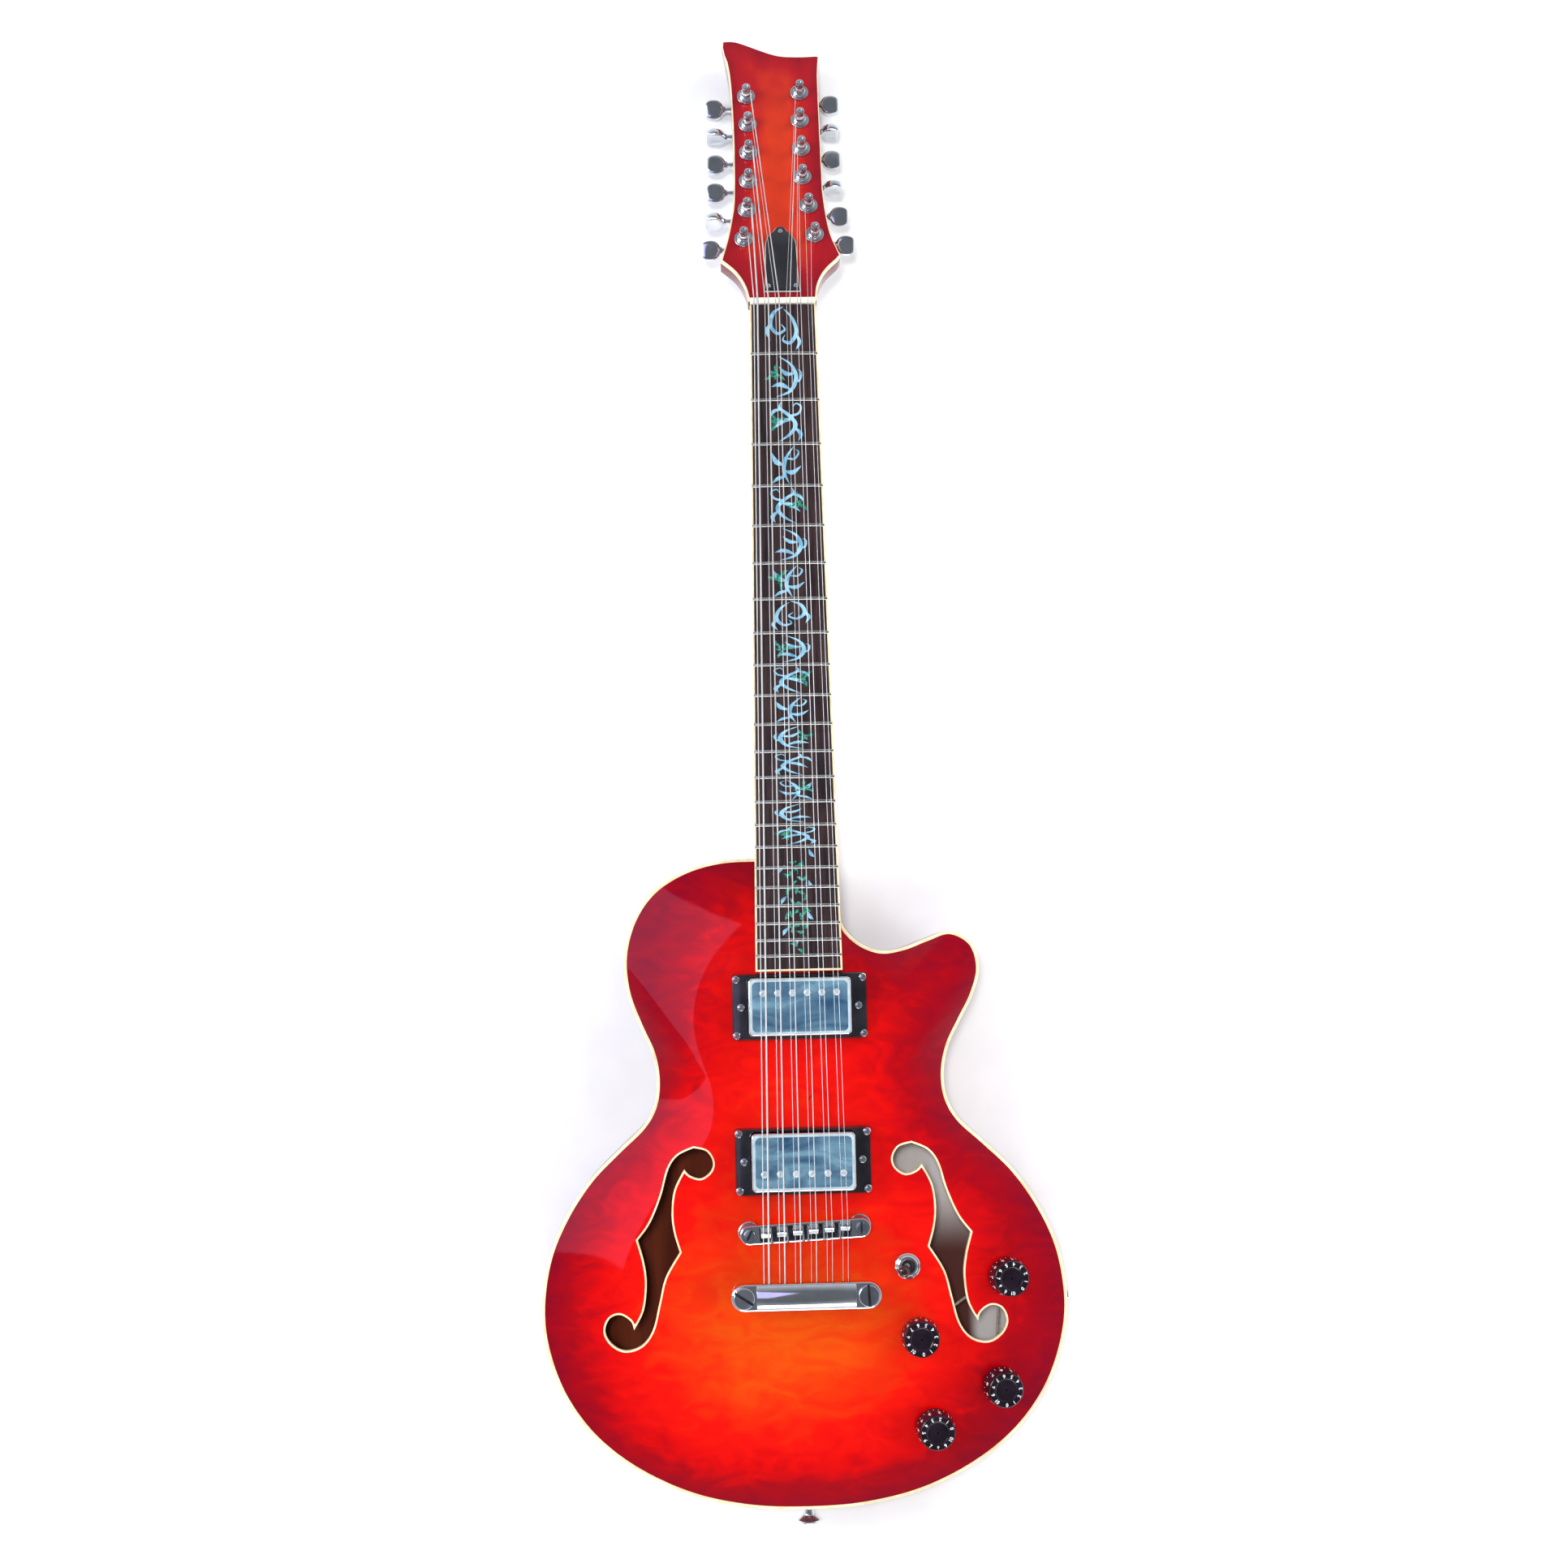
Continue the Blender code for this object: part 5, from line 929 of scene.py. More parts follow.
dressed(joined(blossoms, "abalone_blossoms"), abalone, place=NECK_FRAME)
for model in (*sprigs, petal, spare_leaf, blossom):
    bpy.data.objects.remove(model)

# Nut: a bar of bone between fretboard and headstock, rounded along its back, with twelve slots
# filed in six pairs. It is held by a drop of glue.

STRING_DIAMETERS = (
    0.00069, 0.00119, 0.00046, 0.00099, 0.00036, 0.00076,
    0.00028, 0.00058, 0.00036, 0.00040, 0.00028, 0.00030,
)
COURSE_PITCH_NUT, PAIR_SPREAD_NUT = 0.0075, 0.0025
COURSE_PITCH_SADDLE, PAIR_SPREAD_SADDLE = 0.0104, 0.0034
STRING_HEIGHT_NUT, STRING_HEIGHT_SADDLE = 0.0020, 0.0042
NUT_THICKNESS, NUT_HEIGHT = 0.0044, 0.0026


def string_x(index, pitch, spread):
    course, member = divmod(index, 2)
    return (course - 2.5) * pitch + (member - 0.5) * spread


bone = finish_with("ivory_nut", (0.70, 0.70, 0.55), (0.84, 0.84, 0.70), (160, 160, 160), (0.25, 0.4),
                   coat=0.2)
nut_rings = []
for i in range(17):
    x = (NUT_HALF_WIDTH - GAP) * (i / 8 - 1)
    top = NUT_HEIGHT - crown(x)
    nut_rings.append([(x, y, z) for y, z in (
        (GAP, -BOARD_THICKNESS), (GAP, top - 0.0002), (0.0006, top), (0.0020, top - 0.0001),
        (0.0036, top - 0.0006), (0.0047, top - 0.0016), (0.0047, -BOARD_THICKNESS))])
nut = skin("nut_bone", nut_rings)
for index, diameter in enumerate(STRING_DIAMETERS):
    x = string_x(index, COURSE_PITCH_NUT, PAIR_SPREAD_NUT)
    half = diameter / 2 + 0.0001
    worked(nut, block_of("file", (x - half, -0.002, STRING_HEIGHT_NUT - crown(x) - half),
                         (x + half, 0.008, 0.01)))
dressed(nut, bone, nodes=["nut"], place=NECK_FRAME)

# Truss rod and its cover: a steel rod in the neck, reached under a two-ply plate, black over white,
# that three small chromed screws hold to the headstock.

chrome = finish_with("chrome", (0.66, 0.69, 0.72), (0.78, 0.80, 0.83), (90, 90, 90), (0.06, 0.14),
                     metallic=1.0)
black_plastic = finish_with("black_plastic", (0.006, 0.006, 0.008), (0.016, 0.015, 0.020), (70, 70, 70),
                            (0.16, 0.28), 0.00001, coat=0.5)
white_ply = finish_with("white_ply", (0.72, 0.72, 0.68), (0.84, 0.84, 0.80), (150, 150, 150), (0.3, 0.4),
                        coat=0.3)
rod_steel = finish_with("rod_steel", (0.24, 0.24, 0.25), (0.42, 0.42, 0.44), (300, 12, 300), (0.3, 0.45),
                        metallic=1.0)
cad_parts["truss_rod"].data.materials.clear()
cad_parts["truss_rod"].data.materials.append(rod_steel)
COVER_TOP = 0.0019
cover_side = smooth_run((
    (0.0127, 0.0050), (0.0118, 0.0130), (0.0112, 0.0300), (0.0109, 0.0425), (0.0100, 0.0478),
    (0.0077, 0.0520), (0.0050, 0.0546), (0.0037, 0.0567), (0.0019, 0.0583), (0.0, 0.0587)), 4)
COVER_OUTLINE = cover_side + [(-x, y) for x, y in cover_side[-2::-1]]
ply = softened(plate("cover_white_ply", COVER_OUTLINE, 0.0003, 0.0011), 0.0001, 1)
dressed(ply, white_ply, nodes=["truss_rod_cover"], place=HEAD_FRAME)
ply = softened(plate("cover_black_ply", inset(COVER_OUTLINE, 0.0004), 0.0011, COVER_TOP), 0.00025, 2)
dressed(ply, black_plastic, place=HEAD_FRAME)

# one cross-head screw with a 1 mm head radius is the pattern for all the small ones
screw_model = turned("screw_model", [(0.0005, -0.003), (0.0005, 0.0), (0.001, 0.0), (0.00098, 0.00022),
                                     (0.0008, 0.00046), (0.0005, 0.00058), (0.0002, 0.00062)], 20)
for half_x, half_y in ((0.00062, 0.00014), (0.00014, 0.00062)):
    worked(screw_model, block_of("driver", (-half_x, -half_y, 0.00028), (half_x, half_y, 0.001)))


def screwed(name, place, size, turn):
    """Drives a copy of the small screw in at a place, turned by some degrees."""
    screw = copied(screw_model, name, place @ spun(turn) @ Matrix.Scale(size, 4))
    return dressed(screw, chrome)


for i, (x, y, turn) in enumerate(((0.0, 0.0543, 20), (-0.0094, 0.0092, 50), (0.0094, 0.0092, 75))):
    screwed("cover_screw_%d" % (i + 1), HEAD_FRAME @ moved(x, y, COVER_TOP), 1.55, turn)

# Tuning machines: twelve die-cast chromed cases screwed to the back of the headstock, each with a
# dished washer and a bushing on the face, a post that the string is wound on, and a shield button.

satin = finish_with("satin_chrome", (0.44, 0.47, 0.51), (0.58, 0.61, 0.64), (90, 90, 90), (0.18, 0.32),
                    metallic=1.0)
POST_PITCH = 0.0244
POST_ROWS = ((-0.0259, -0.0230, -0.0216, -0.0209, -0.0208, -0.0214),
             (0.0241, 0.0205, 0.0170, 0.0169, 0.0168, 0.0172))
POST_FIRST = (0.0491, 0.0522)
POST_HOLE, POST_HOLE_Z = 0.0007, 0.0061
WORM_Z = HEAD_BACK - 0.0080
WORM_OFFSET = 0.0067
BUTTON_TURNS = ((30, 75, 20, 15, 80, 25), (35, 25, 85, 10, 78, 15))
post_model = turned("post_model", [
    (0.0045, WORM_Z - 0.0018), (0.0045, WORM_Z + 0.0018), (0.0029, WORM_Z + 0.0019), (0.0029, 0.0036),
    (0.0028, 0.0042), (0.0025, 0.0047), (0.0024, 0.0052), (0.0024, 0.0071), (0.0025, 0.0076),
    (0.0028, 0.0081), (0.00295, 0.0086), (0.00295, 0.0110), (0.0029, 0.0113), (0.0026, 0.0115),
    (0.0012, 0.0115), (0.0010, 0.0113), (0.0003, 0.01125)], 28)
drilled(post_model, POST_HOLE, moved(z=POST_HOLE_Z) @ spun(90, "X"), 0.01, 12)
bushing_model = turned("bushing_model", [
    (0.0031, 0.0003), (0.0065, 0.0003), (0.0066, 0.0007), (0.0064, 0.0011), (0.0060, 0.0012),
    (0.0054, 0.0009), (0.0050, 0.0010), (0.0048, 0.0014), (0.0047, 0.0022), (0.0044, 0.0027),
    (0.0037, 0.0030), (0.0035, 0.0034), (0.0031, 0.0034)], 36, hollow=True)
case_outline = ((0.0078, -0.0072), (0.0078, 0.0106), (-0.0078, 0.0106), (-0.0078, -0.0072))
case_model = softened(plate("case_model", case_outline, HEAD_BACK - 0.0140, HEAD_BACK - 0.0001),
                      0.0022, 4, 60)
worked(case_model, turned("shaft_bore", [(0.0047, WORM_Z - 0.002), (0.0047, HEAD_BACK + 0.001)], 24))
drilled(case_model, 0.0021, moved(y=WORM_OFFSET, z=WORM_Z) @ spun(90, "Y"), 0.02, 20)


def rounded(width, thickness, power, sides=32):
    """A section between an ellipse and a rectangle, as wide and as thick as given."""
    points = []
    for i in range(sides):
        c, s = math.cos(2 * math.pi * i / sides), math.sin(2 * math.pi * i / sides)
        points.append((width * math.copysign(abs(c) ** (2 / power), c),
                       thickness * math.copysign(abs(s) ** (2 / power), s)))
    return points


BUTTON_STATIONS = (
    (-0.0052, 1.85, 1.85, 2), (0.0088, 1.85, 1.85, 2), (0.0089, 2.7, 2.7, 2), (0.0104, 2.7, 2.7, 2),
    (0.0108, 2.2, 2.2, 2), (0.0148, 2.0, 2.0, 2), (0.0150, 2.7, 2.6, 2), (0.0160, 2.8, 2.7, 2),
    (0.0166, 3.4, 2.6, 2.6), (0.0174, 4.6, 2.7, 3.4), (0.0188, 5.9, 2.85, 4.4), (0.0208, 6.9, 2.9, 5),
    (0.0230, 7.2, 2.9, 5.5), (0.0252, 7.1, 2.9, 5.5), (0.0272, 6.5, 2.9, 5.5), (0.0285, 5.8, 2.8, 5),
    (0.0292, 5.2, 2.4, 4.5), (0.0295, 4.6, 1.9, 4),
)
button_model = skin("button_model", [[(along, v / 1000, w / 1000) for v, w in rounded(*section)]
                                     for along, *section in BUTTON_STATIONS])
for side, label in ((0, "bass"), (1, "treble")):
    for row in range(6):
        tag = "%s_%d" % (label, row + 1)
        spot = HEAD_FRAME @ moved(POST_ROWS[side][row], POST_FIRST[side] + row * POST_PITCH)
        post = copied(post_model, "string_post_" + tag, spun(37 * row + 20 * side))
        dressed(post, satin, "tuner_post_" + tag, ["tuner_post_" + tag], spot, 40)
        dressed(copied(bushing_model, "post_bushing_" + tag), satin, place=spot, angle=50)
        dressed(copied(case_model, "tuner_case_" + tag), chrome, place=spot)
        button = copied(button_model, "shield_button_" + tag,
                        moved(y=WORM_OFFSET, z=WORM_Z) @ spun(BUTTON_TURNS[side][row], "X"))
        if side == 0:
            button.data.transform(Matrix.Scale(-1.0, 4, (1.0, 0.0, 0.0)))
            button.data.flip_normals()
        dressed(button, chrome, "tuner_button_" + tag, ["tuner_button_" + tag], spot, 40)
for model in (post_model, bushing_model, case_model, button_model):
    bpy.data.objects.remove(model)

# Strings: six pairs of nickel-plated steel, the thick ones wound with wire over a core. Each runs
# from a hole in the tailpiece over its saddle and the nut, and down round its post in close turns.

SADDLE_Y = BOARD_END_Y - (SCALE_LENGTH - BOARD_END) * math.cos(NECK_ANGLE)
TAIL_Y = SADDLE_Y - 0.0475
TAIL_HALF_WIDTH = 0.0088
TAIL_TOP = TOP_Z + 0.0155
WOUND_FROM, WINDING_PITCH = 0.00045, 0.00028
plain_steel = finish_with("plain_string", (0.80, 0.81, 0.82), (0.92, 0.92, 0.92), (150, 20, 150),
                          (0.34, 0.42), metallic=0.85)
wound_steel = finish_with("wound_string", (0.78, 0.78, 0.77), (0.90, 0.89, 0.87), (150, 20, 150),
                          (0.36, 0.46), metallic=0.8)
nodes, links = wound_steel.node_tree.nodes, wound_steel.node_tree.links
along = nodes.new("ShaderNodeAttribute")
along.attribute_name = "along"
turns = nodes.new("ShaderNodeMath")
turns.operation = "SINE"
pitch = nodes.new("ShaderNodeMath")
pitch.operation = "MULTIPLY"
pitch.inputs[1].default_value = 2 * math.pi / WINDING_PITCH
ridge = nodes.new("ShaderNodeBump")
ridge.inputs["Distance"].default_value = 0.00004
links.new(along.outputs["Fac"], pitch.inputs[0])
links.new(pitch.outputs["Value"], turns.inputs[0])
links.new(turns.outputs["Value"], ridge.inputs["Height"])
links.new(ridge.outputs["Normal"], nodes["Principled BSDF"].inputs["Normal"])


def saddle_point(index):
    """Where a string crosses its saddle: the thick ones lie further back."""
    x = string_x(index, COURSE_PITCH_SADDLE, PAIR_SPREAD_SADDLE)
    place = SCALE_LENGTH + 0.0012 + (5 - index // 2) * 0.0007
    height = STRING_HEIGHT_NUT + (STRING_HEIGHT_SADDLE - STRING_HEIGHT_NUT) * place / SCALE_LENGTH
    return NECK_FRAME @ Vector((x, -place, height - crown(x)))


def tail_hole(index):
    return Vector((string_x(index, COURSE_PITCH_SADDLE, PAIR_SPREAD_SADDLE), TAIL_Y + TAIL_HALF_WIDTH,
                   TAIL_TOP - 0.0050))


def tube(name, path, radius, sides=10):
    """A round wire along a path, with the distance along it kept for its winding."""
    rings, travelled, distance = [], [], 0.0
    side_way = Vector((1.0, 0.0, 0.0))
    for i, point in enumerate(path):
        ahead = (path[min(i + 1, len(path) - 1)] - path[max(i - 1, 0)]).normalized()
        side_way = (side_way - ahead * side_way.dot(ahead)).normalized()
        up_way = ahead.cross(side_way)
        distance += (point - path[max(i - 1, 0)]).length
        travelled += [distance] * sides
        rings.append([point + side_way * (radius * math.cos(2 * math.pi * k / sides))
                      + up_way * (radius * math.sin(2 * math.pi * k / sides)) for k in range(sides)])
    wire = skin(name, rings)
    spots = KDTree(len(travelled))
    for i, place in enumerate(p for ring in rings for p in ring):
        spots.insert(place, i)
    spots.balance()
    mark = wire.data.attributes.new("along", "FLOAT", "POINT")
    for vertex in wire.data.vertices:
        mark.data[vertex.index].value = travelled[spots.find(vertex.co)[1]]
    return wire


head_inverse = HEAD_FRAME.inverted()
for index, diameter in enumerate(STRING_DIAMETERS):
    radius = diameter / 2
    saddle, hole = saddle_point(index), tail_hole(index)
    back_way = (hole - saddle).normalized()
    nut_x = string_x(index, COURSE_PITCH_NUT, PAIR_SPREAD_NUT)
    nut_z = STRING_HEIGHT_NUT - crown(nut_x)
    nut_front = NECK_FRAME @ Vector((nut_x, 0.0, nut_z))
    nut_back = NECK_FRAME @ Vector((nut_x, NUT_THICKNESS, nut_z - radius / 3))
    side = 0 if index < 6 else 1
    row = index if side == 0 else 11 - index
    post_x, post_y = POST_ROWS[side][row], POST_FIRST[side] + row * POST_PITCH
    wrap = 0.0025 + radius
    spin = 1.0 if side == 0 else -1.0
    start = head_inverse @ nut_back
    reach = math.hypot(start.x - post_x, start.y - post_y)
    first = math.atan2(start.y - post_y, start.x - post_x) + spin * math.acos(wrap / reach)
    wraps = min(4.2, 0.0021 / diameter)
    winding = []
    for step in range(int(wraps * 20) + 1):
        angle = first + spin * step / 20 * 2 * math.pi
        height = 0.0074 - radius - 0.0002 - step / 20 * diameter * 1.03
        winding.append(HEAD_FRAME @ Vector((
            post_x + wrap * math.cos(angle), post_y + wrap * math.sin(angle), height)))
    front_way = (nut_front - saddle).normalized()
    bend = 0.0012
    path = [hole + back_way * 0.0100, hole, saddle + back_way * bend,
            saddle + (back_way + front_way) * bend * 0.15,
            saddle + front_way * bend, nut_front - front_way * 0.1, nut_front, nut_back,
            nut_back + (winding[0] - nut_back).normalized() * 0.002, *winding]
    wound = diameter > WOUND_FROM
    string = tube("string_%d_wire" % (index + 1), path, radius)
    dressed(string, wound_steel if wound else plain_steel, nodes=["string_%d" % (index + 1)],
            angle=60)

# Pickups: two humbuckers in black moulded rings, each ring with four small screws into the top and
# two for the height; the chromed covers, with six slotted poles each, still wear their clouded film.

RING_HALF = (0.0452, 0.0221)
COVER_HALF = (0.0343, 0.0191)
film = finish_with("film", (0.035, 0.11, 0.22), (0.26, 0.48, 0.60), (24, 70, 60), (0.12, 0.40), 0.00003,
                   metallic=0.45, coat=0.6, spread=(0.30, 0.68), bend=1.2)
pole_steel = finish_with("pole_steel", (0.74, 0.80, 0.82), (0.90, 0.94, 0.94), (300, 300, 300), (0.36, 0.5),
                         metallic=0.7)
film_edge = finish_with("film_edge", (0.50, 0.66, 0.70), (0.72, 0.84, 0.86), (120, 120, 120), (0.25, 0.4),
                        metallic=0.4, coat=0.4)


def oblong(half_x, half_y, corner, steps=5):
    """A rectangle with round corners, counter-clockwise."""
    outline = []
    for sign_x, sign_y, start in ((1, -1, -90), (1, 1, 0), (-1, 1, 90), (-1, -1, 180)):
        for i in range(steps + 1):
            angle = math.radians(start + 90 * i / steps)
            outline.append((sign_x * (half_x - corner) + corner * math.cos(angle),
                            sign_y * (half_y - corner) + corner * math.sin(angle)))
    return outline


# each pickup's name, middle, ring height, rows of corner screws, row of height screws, row of poles
# and how far its outer poles stand from the middle
PICKUPS = (
    ("neck", PICKUP_CENTRES[0], 0.0050, (0.1330, 0.0958), 0.1144, 0.1235, 0.0245),
    ("bridge", PICKUP_CENTRES[1], 0.0095, (0.0315, -0.0060), 0.0131, 0.0052, 0.0260),
)
CORNER_SCREW_X, HEIGHT_SCREW_X = 0.0424, 0.0392
for name, y, ring_height, corner_rows, height_screw_y, pole_y, pole_x in PICKUPS:
    low = TOP_Z + GAP
    high = low + ring_height
    place = moved(y=y)
    rings = [flat(oblong(half_x, half_y, corner), z) for half_x, half_y, corner, z in (
        (RING_HALF[0], RING_HALF[1], 0.0022, low), (RING_HALF[0], RING_HALF[1], 0.0022, low + 0.0015),
        (RING_HALF[0] - 0.0006, RING_HALF[1] - 0.0006, 0.0020, high - 0.0007),
        (RING_HALF[0] - 0.0009, RING_HALF[1] - 0.0009, 0.0018, high - 0.0002),
        (RING_HALF[0] - 0.0015, RING_HALF[1] - 0.0015, 0.0014, high),
        (COVER_HALF[0] + 0.0010, COVER_HALF[1] + 0.0010, 0.0030, high),
        (COVER_HALF[0] + 0.0006, COVER_HALF[1] + 0.0006, 0.0034, high - 0.0005),
        (COVER_HALF[0] + 0.0006, COVER_HALF[1] + 0.0006, 0.0034, low))]
    ring = skin("ring_" + name, rings + rings[:1], True)
    dressed(ring, black_plastic, nodes=["pickup_ring_" + name], place=place)
    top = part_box("pickup_" + name)[1].z
    rings = [flat(oblong(COVER_HALF[0] - sink, COVER_HALF[1] - sink, 0.0030), z) for sink, z in (
        (0.0, top - 0.0175), (0.0, top - 0.0012), (0.00015, top - 0.0007), (0.0005, top - 0.0003),
        (0.0010, top - 0.0001), (0.0017, top))]
    dressed(skin("cover_" + name, rings), chrome, nodes=["pickup_" + name], place=place)
    # the film lies over the cover, its rim lifted a little and paler than its middle
    rings = [flat(oblong(COVER_HALF[0] - sink, COVER_HALF[1] - sink, 0.0030), top + z) for sink, z in (
        (0.0009, 0.00002), (0.0008, 0.00010), (0.0024, 0.00013), (0.0026, 0.00003))]
    dressed(skin("film_rim_" + name, rings + rings[:1], True), film_edge, place=place)
    rings = [flat(oblong(COVER_HALF[0] - sink, COVER_HALF[1] - sink, 0.0034), top + z) for sink, z in (
        (0.0025, 0.00001), (0.0024, 0.00007), (0.0030, 0.00009))]
    dressed(skin("film_" + name, rings), film, place=place)
    for i in range(6):
        pole = turned("pole_%s_%d" % (name, i + 1), [(0.0021, -0.004), (0.0023, 0.00015), (0.0023, 0.0006),
                                                    (0.0020, 0.0010), (0.0012, 0.0013), (0.0004, 0.0014)], 24)
        worked(pole, block_of("slot", (-0.003, -0.0003, 0.0005), (0.003, 0.0003, 0.002)))
        x = -pole_x + i * pole_x / 2.5
        dressed(pole, pole_steel,
                place=moved(x, pole_y, top) @ Matrix.Rotation(0.5 + 1.1 * i, 4, "Z"))
    corners = [(x, row) for x in (-CORNER_SCREW_X, CORNER_SCREW_X) for row in corner_rows]
    for i, (x, screw_y) in enumerate(corners):
        screwed("ring_screw_%s_%d" % (name, i + 1), moved(x, screw_y, high - 0.0001), 2.6, 31 * i + 12)
    for i, x in enumerate((-HEIGHT_SCREW_X, HEIGHT_SCREW_X)):
        screwed("height_screw_%s_%d" % (name, i + 1), moved(x, height_screw_y, high - 0.0001),
                2.5, 47 * i + 25)

# Bridge: a chromed bar on two posts with thumbwheels, with a trough in which six saddles, each
# notched for a pair of strings, are drawn back and forth by screws; a dark strip on its floor is painted
# shade.

BRIDGE_Y = SADDLE_Y - 0.0045
BRIDGE_SLANT = math.radians(2.6)
BRIDGE_POST_X = 0.0368
BRIDGE_PLACE = moved(y=BRIDGE_Y) @ Matrix.Rotation(BRIDGE_SLANT, 4, "Z")
DECK = saddle_point(5).z - 0.0040
dark_metal = finish_with("dark_metal", (0.03, 0.03, 0.035), (0.10, 0.10, 0.11), (200, 200, 200), (0.3, 0.5),
                         metallic=0.8)


def capsule(half_length, half_width, steps=12):
    """A bar's outline with round ends."""
    return [(side * half_length + half_width * math.cos(start + math.pi * i / steps),
             half_width * math.sin(start + math.pi * i / steps))
            for side, start in ((1, -math.pi / 2), (-1, math.pi / 2)) for i in range(steps + 1)]


bar = skin("bridge_bar", [flat(capsule(BRIDGE_POST_X, half), z) for half, z in (
    (0.0052, DECK - 0.0068), (0.0060, DECK - 0.0064), (0.0062, DECK - 0.0058), (0.0062, DECK - 0.0009),
    (0.0060, DECK - 0.0003), (0.0055, DECK))])
worked(bar, softened(block_of("trough", (-0.0302, -0.0047, DECK - 0.0030), (0.0302, 0.0047, DECK + 0.001)),
                     0.0008, 2))
for side in (-1, 1):
    recess = turned("recess", [(0.0041, DECK - 0.0012), (0.0043, DECK + 0.001)], 28)
    recess.data.transform(moved(side * BRIDGE_POST_X))
    worked(bar, recess)
dressed(bar, chrome, nodes=["bridge"], place=BRIDGE_PLACE)
# a dark strip laid on the trough's floor is painted shade, where the trough lies in shadow
trough_shade_strip = block_of("trough_painted_shade", (-0.0298, -0.0044, DECK - 0.00298), (0.0298, 0.0044, DECK - 0.0027))
dressed(trough_shade_strip, dark_metal, place=BRIDGE_PLACE)
# the floors of the screwdriver slots get a dark material: painted shade down in the slots
slot_floor = finish_with("slot_floor", (0.010, 0.010, 0.012), (0.030, 0.030, 0.034),
                         (300, 300, 300), (0.5, 0.7))


def slotted(post, degrees, half_length, half_width, top, depth):
    """Saws a screwdriver slot across the head of a post."""
    blade = block_of("blade", (-half_length, -half_width, top - depth),
                     (half_length, half_width, top + 0.002))
    blade.data.transform(spun(degrees))
    worked(post, blade)


def dulled(post, level):
    """Paints shade on the floor of a post's slot, at a height: a dark material as painted shade."""
    post.data.materials.append(slot_floor)
    for face in post.data.polygons:
        if face.normal.z > 0.9 and abs(face.center.z - level) < 0.0002:
            face.material_index = 1


for side, turn in ((-1, 62), (1, 88)):
    place = BRIDGE_PLACE @ moved(side * BRIDGE_POST_X)
    post = turned("bridge_post_%s" % ("bass" if side < 0 else "treble"), [
        (0.0026, 0.0350), (0.0026, TOP_Z + 0.0003), (0.0066, TOP_Z + 0.0003), (0.0072, TOP_Z + 0.0007),
        (0.0072, TOP_Z + 0.0024), (0.0066, TOP_Z + 0.0028), (0.0026, TOP_Z + 0.0028), (0.0026, DECK - 0.0012),
        (0.0037, DECK - 0.00115), (0.0038, DECK - 0.0002), (0.0034, DECK + 0.0003), (0.0026, DECK + 0.0005)],
        32)
    slotted(post, turn, 0.006, 0.0006, DECK, 0.0006)
    dulled(dressed(post, satin, place=place), DECK - 0.0006)
for course in range(6):
    pair = [saddle_point(2 * course), saddle_point(2 * course + 1)]
    centre = (pair[0] + pair[1]) / 2
    crest = min(p.z - STRING_DIAMETERS[2 * course + i] * 0.25 for i, p in enumerate(pair))
    side_view = [(-0.0026, DECK - 0.0025), (0.0022, DECK - 0.0025), (0.0022, DECK + 0.0002),
                 (0.0034, DECK + 0.0002), (0.0036, crest - 0.0016), (0.0009, crest - 0.0001),
                 (0.0006, crest), (-0.0003, crest), (-0.0008, crest - 0.0002), (-0.0034, crest - 0.0020),
                 (-0.0036, DECK + 0.0002), (-0.0026, DECK + 0.0002)]
    saddle = skin("saddle_%d" % (course + 1), [[(x, y, z) for y, z in side_view]
                                               for x in (-0.0031, -0.0029, 0.0029, 0.0031)])
    softened(saddle, 0.00015, 1, 40)
    for i, point in enumerate(pair):
        drilled(saddle, STRING_DIAMETERS[2 * course + i] / 2 + 0.00015,
                moved(point.x - centre.x, 0.0, point.z) @ spun(90, "X"), 0.006, 12)
    dressed(saddle, chrome, place=moved(centre.x, centre.y))
    screw = turned("saddle_screw_%d" % (course + 1), [
        (0.0007, 0.0), (0.0007, 0.0092), (0.0015, 0.0093), (0.0016, 0.0103), (0.0012, 0.0107),
        (0.0004, 0.0108)], 16)
    worked(screw, block_of("slot", (-0.003, -0.00022, 0.0102), (0.003, 0.00022, 0.012)))
    along_bar = centre.x + (0.0036 if course < 3 else -0.0036)
    dressed(screw, chrome, place=BRIDGE_PLACE @ moved(along_bar, 0.0044, DECK - 0.0012)
            @ spun(90, "X") @ Matrix.Rotation(0.4 * course, 4, "Z"))

# Tailpiece: a cast, chromed stop bar with a polished raised middle that the strings' ball ends are
# hooked in, held at both ends by wide slotted studs in bushings in the top.

TAIL_PLACE = moved(y=TAIL_Y)
TAIL_LOW = TAIL_TOP - 0.0110
TAIL_STUD_X = 0.0410
bar = skin("tail_bar", [flat(capsule(0.0407, half), z) for half, z in (
    (0.0066, TAIL_LOW), (0.0080, TAIL_LOW + 0.0008), (0.0088, TAIL_LOW + 0.0024), (0.0088, TAIL_TOP - 0.0042),
    (0.0086, TAIL_TOP - 0.0034), (0.0080, TAIL_TOP - 0.0029), (0.0070, TAIL_TOP - 0.0027))])
side_view = [(0.0086, TAIL_TOP - 0.0075)] + [
    (0.0122 * math.sin(math.radians(a)),
     TAIL_TOP - 0.0122 * (1 - math.cos(math.radians(a)))) for a in range(45, -1, -5)]
side_view = side_view + [(-y, z) for y, z in side_view[-2::-1]]
middle = softened(skin("tail_middle", [[(x, y, z) for y, z in side_view] for x in (-0.0328, 0.0328)]),
                  0.0004, 2, 50)
hooks = [turned("ball_hole", [(0.0013, -0.0110), (0.0013, 0.006)], 16) for _ in range(12)]
for index, hook in enumerate(hooks):
    aim = saddle_point(index) - tail_hole(index)
    hook.data.transform(TAIL_PLACE.inverted() @ Matrix.Translation(tail_hole(index))
                        @ aim.to_track_quat("Z", "Y").to_matrix().to_4x4())
holes = joined(hooks, "ball_holes")
worked(middle, copied(holes, "ball_holes_again"))
worked(bar, holes)
dressed(bar, chrome, nodes=["tailpiece"], place=TAIL_PLACE)
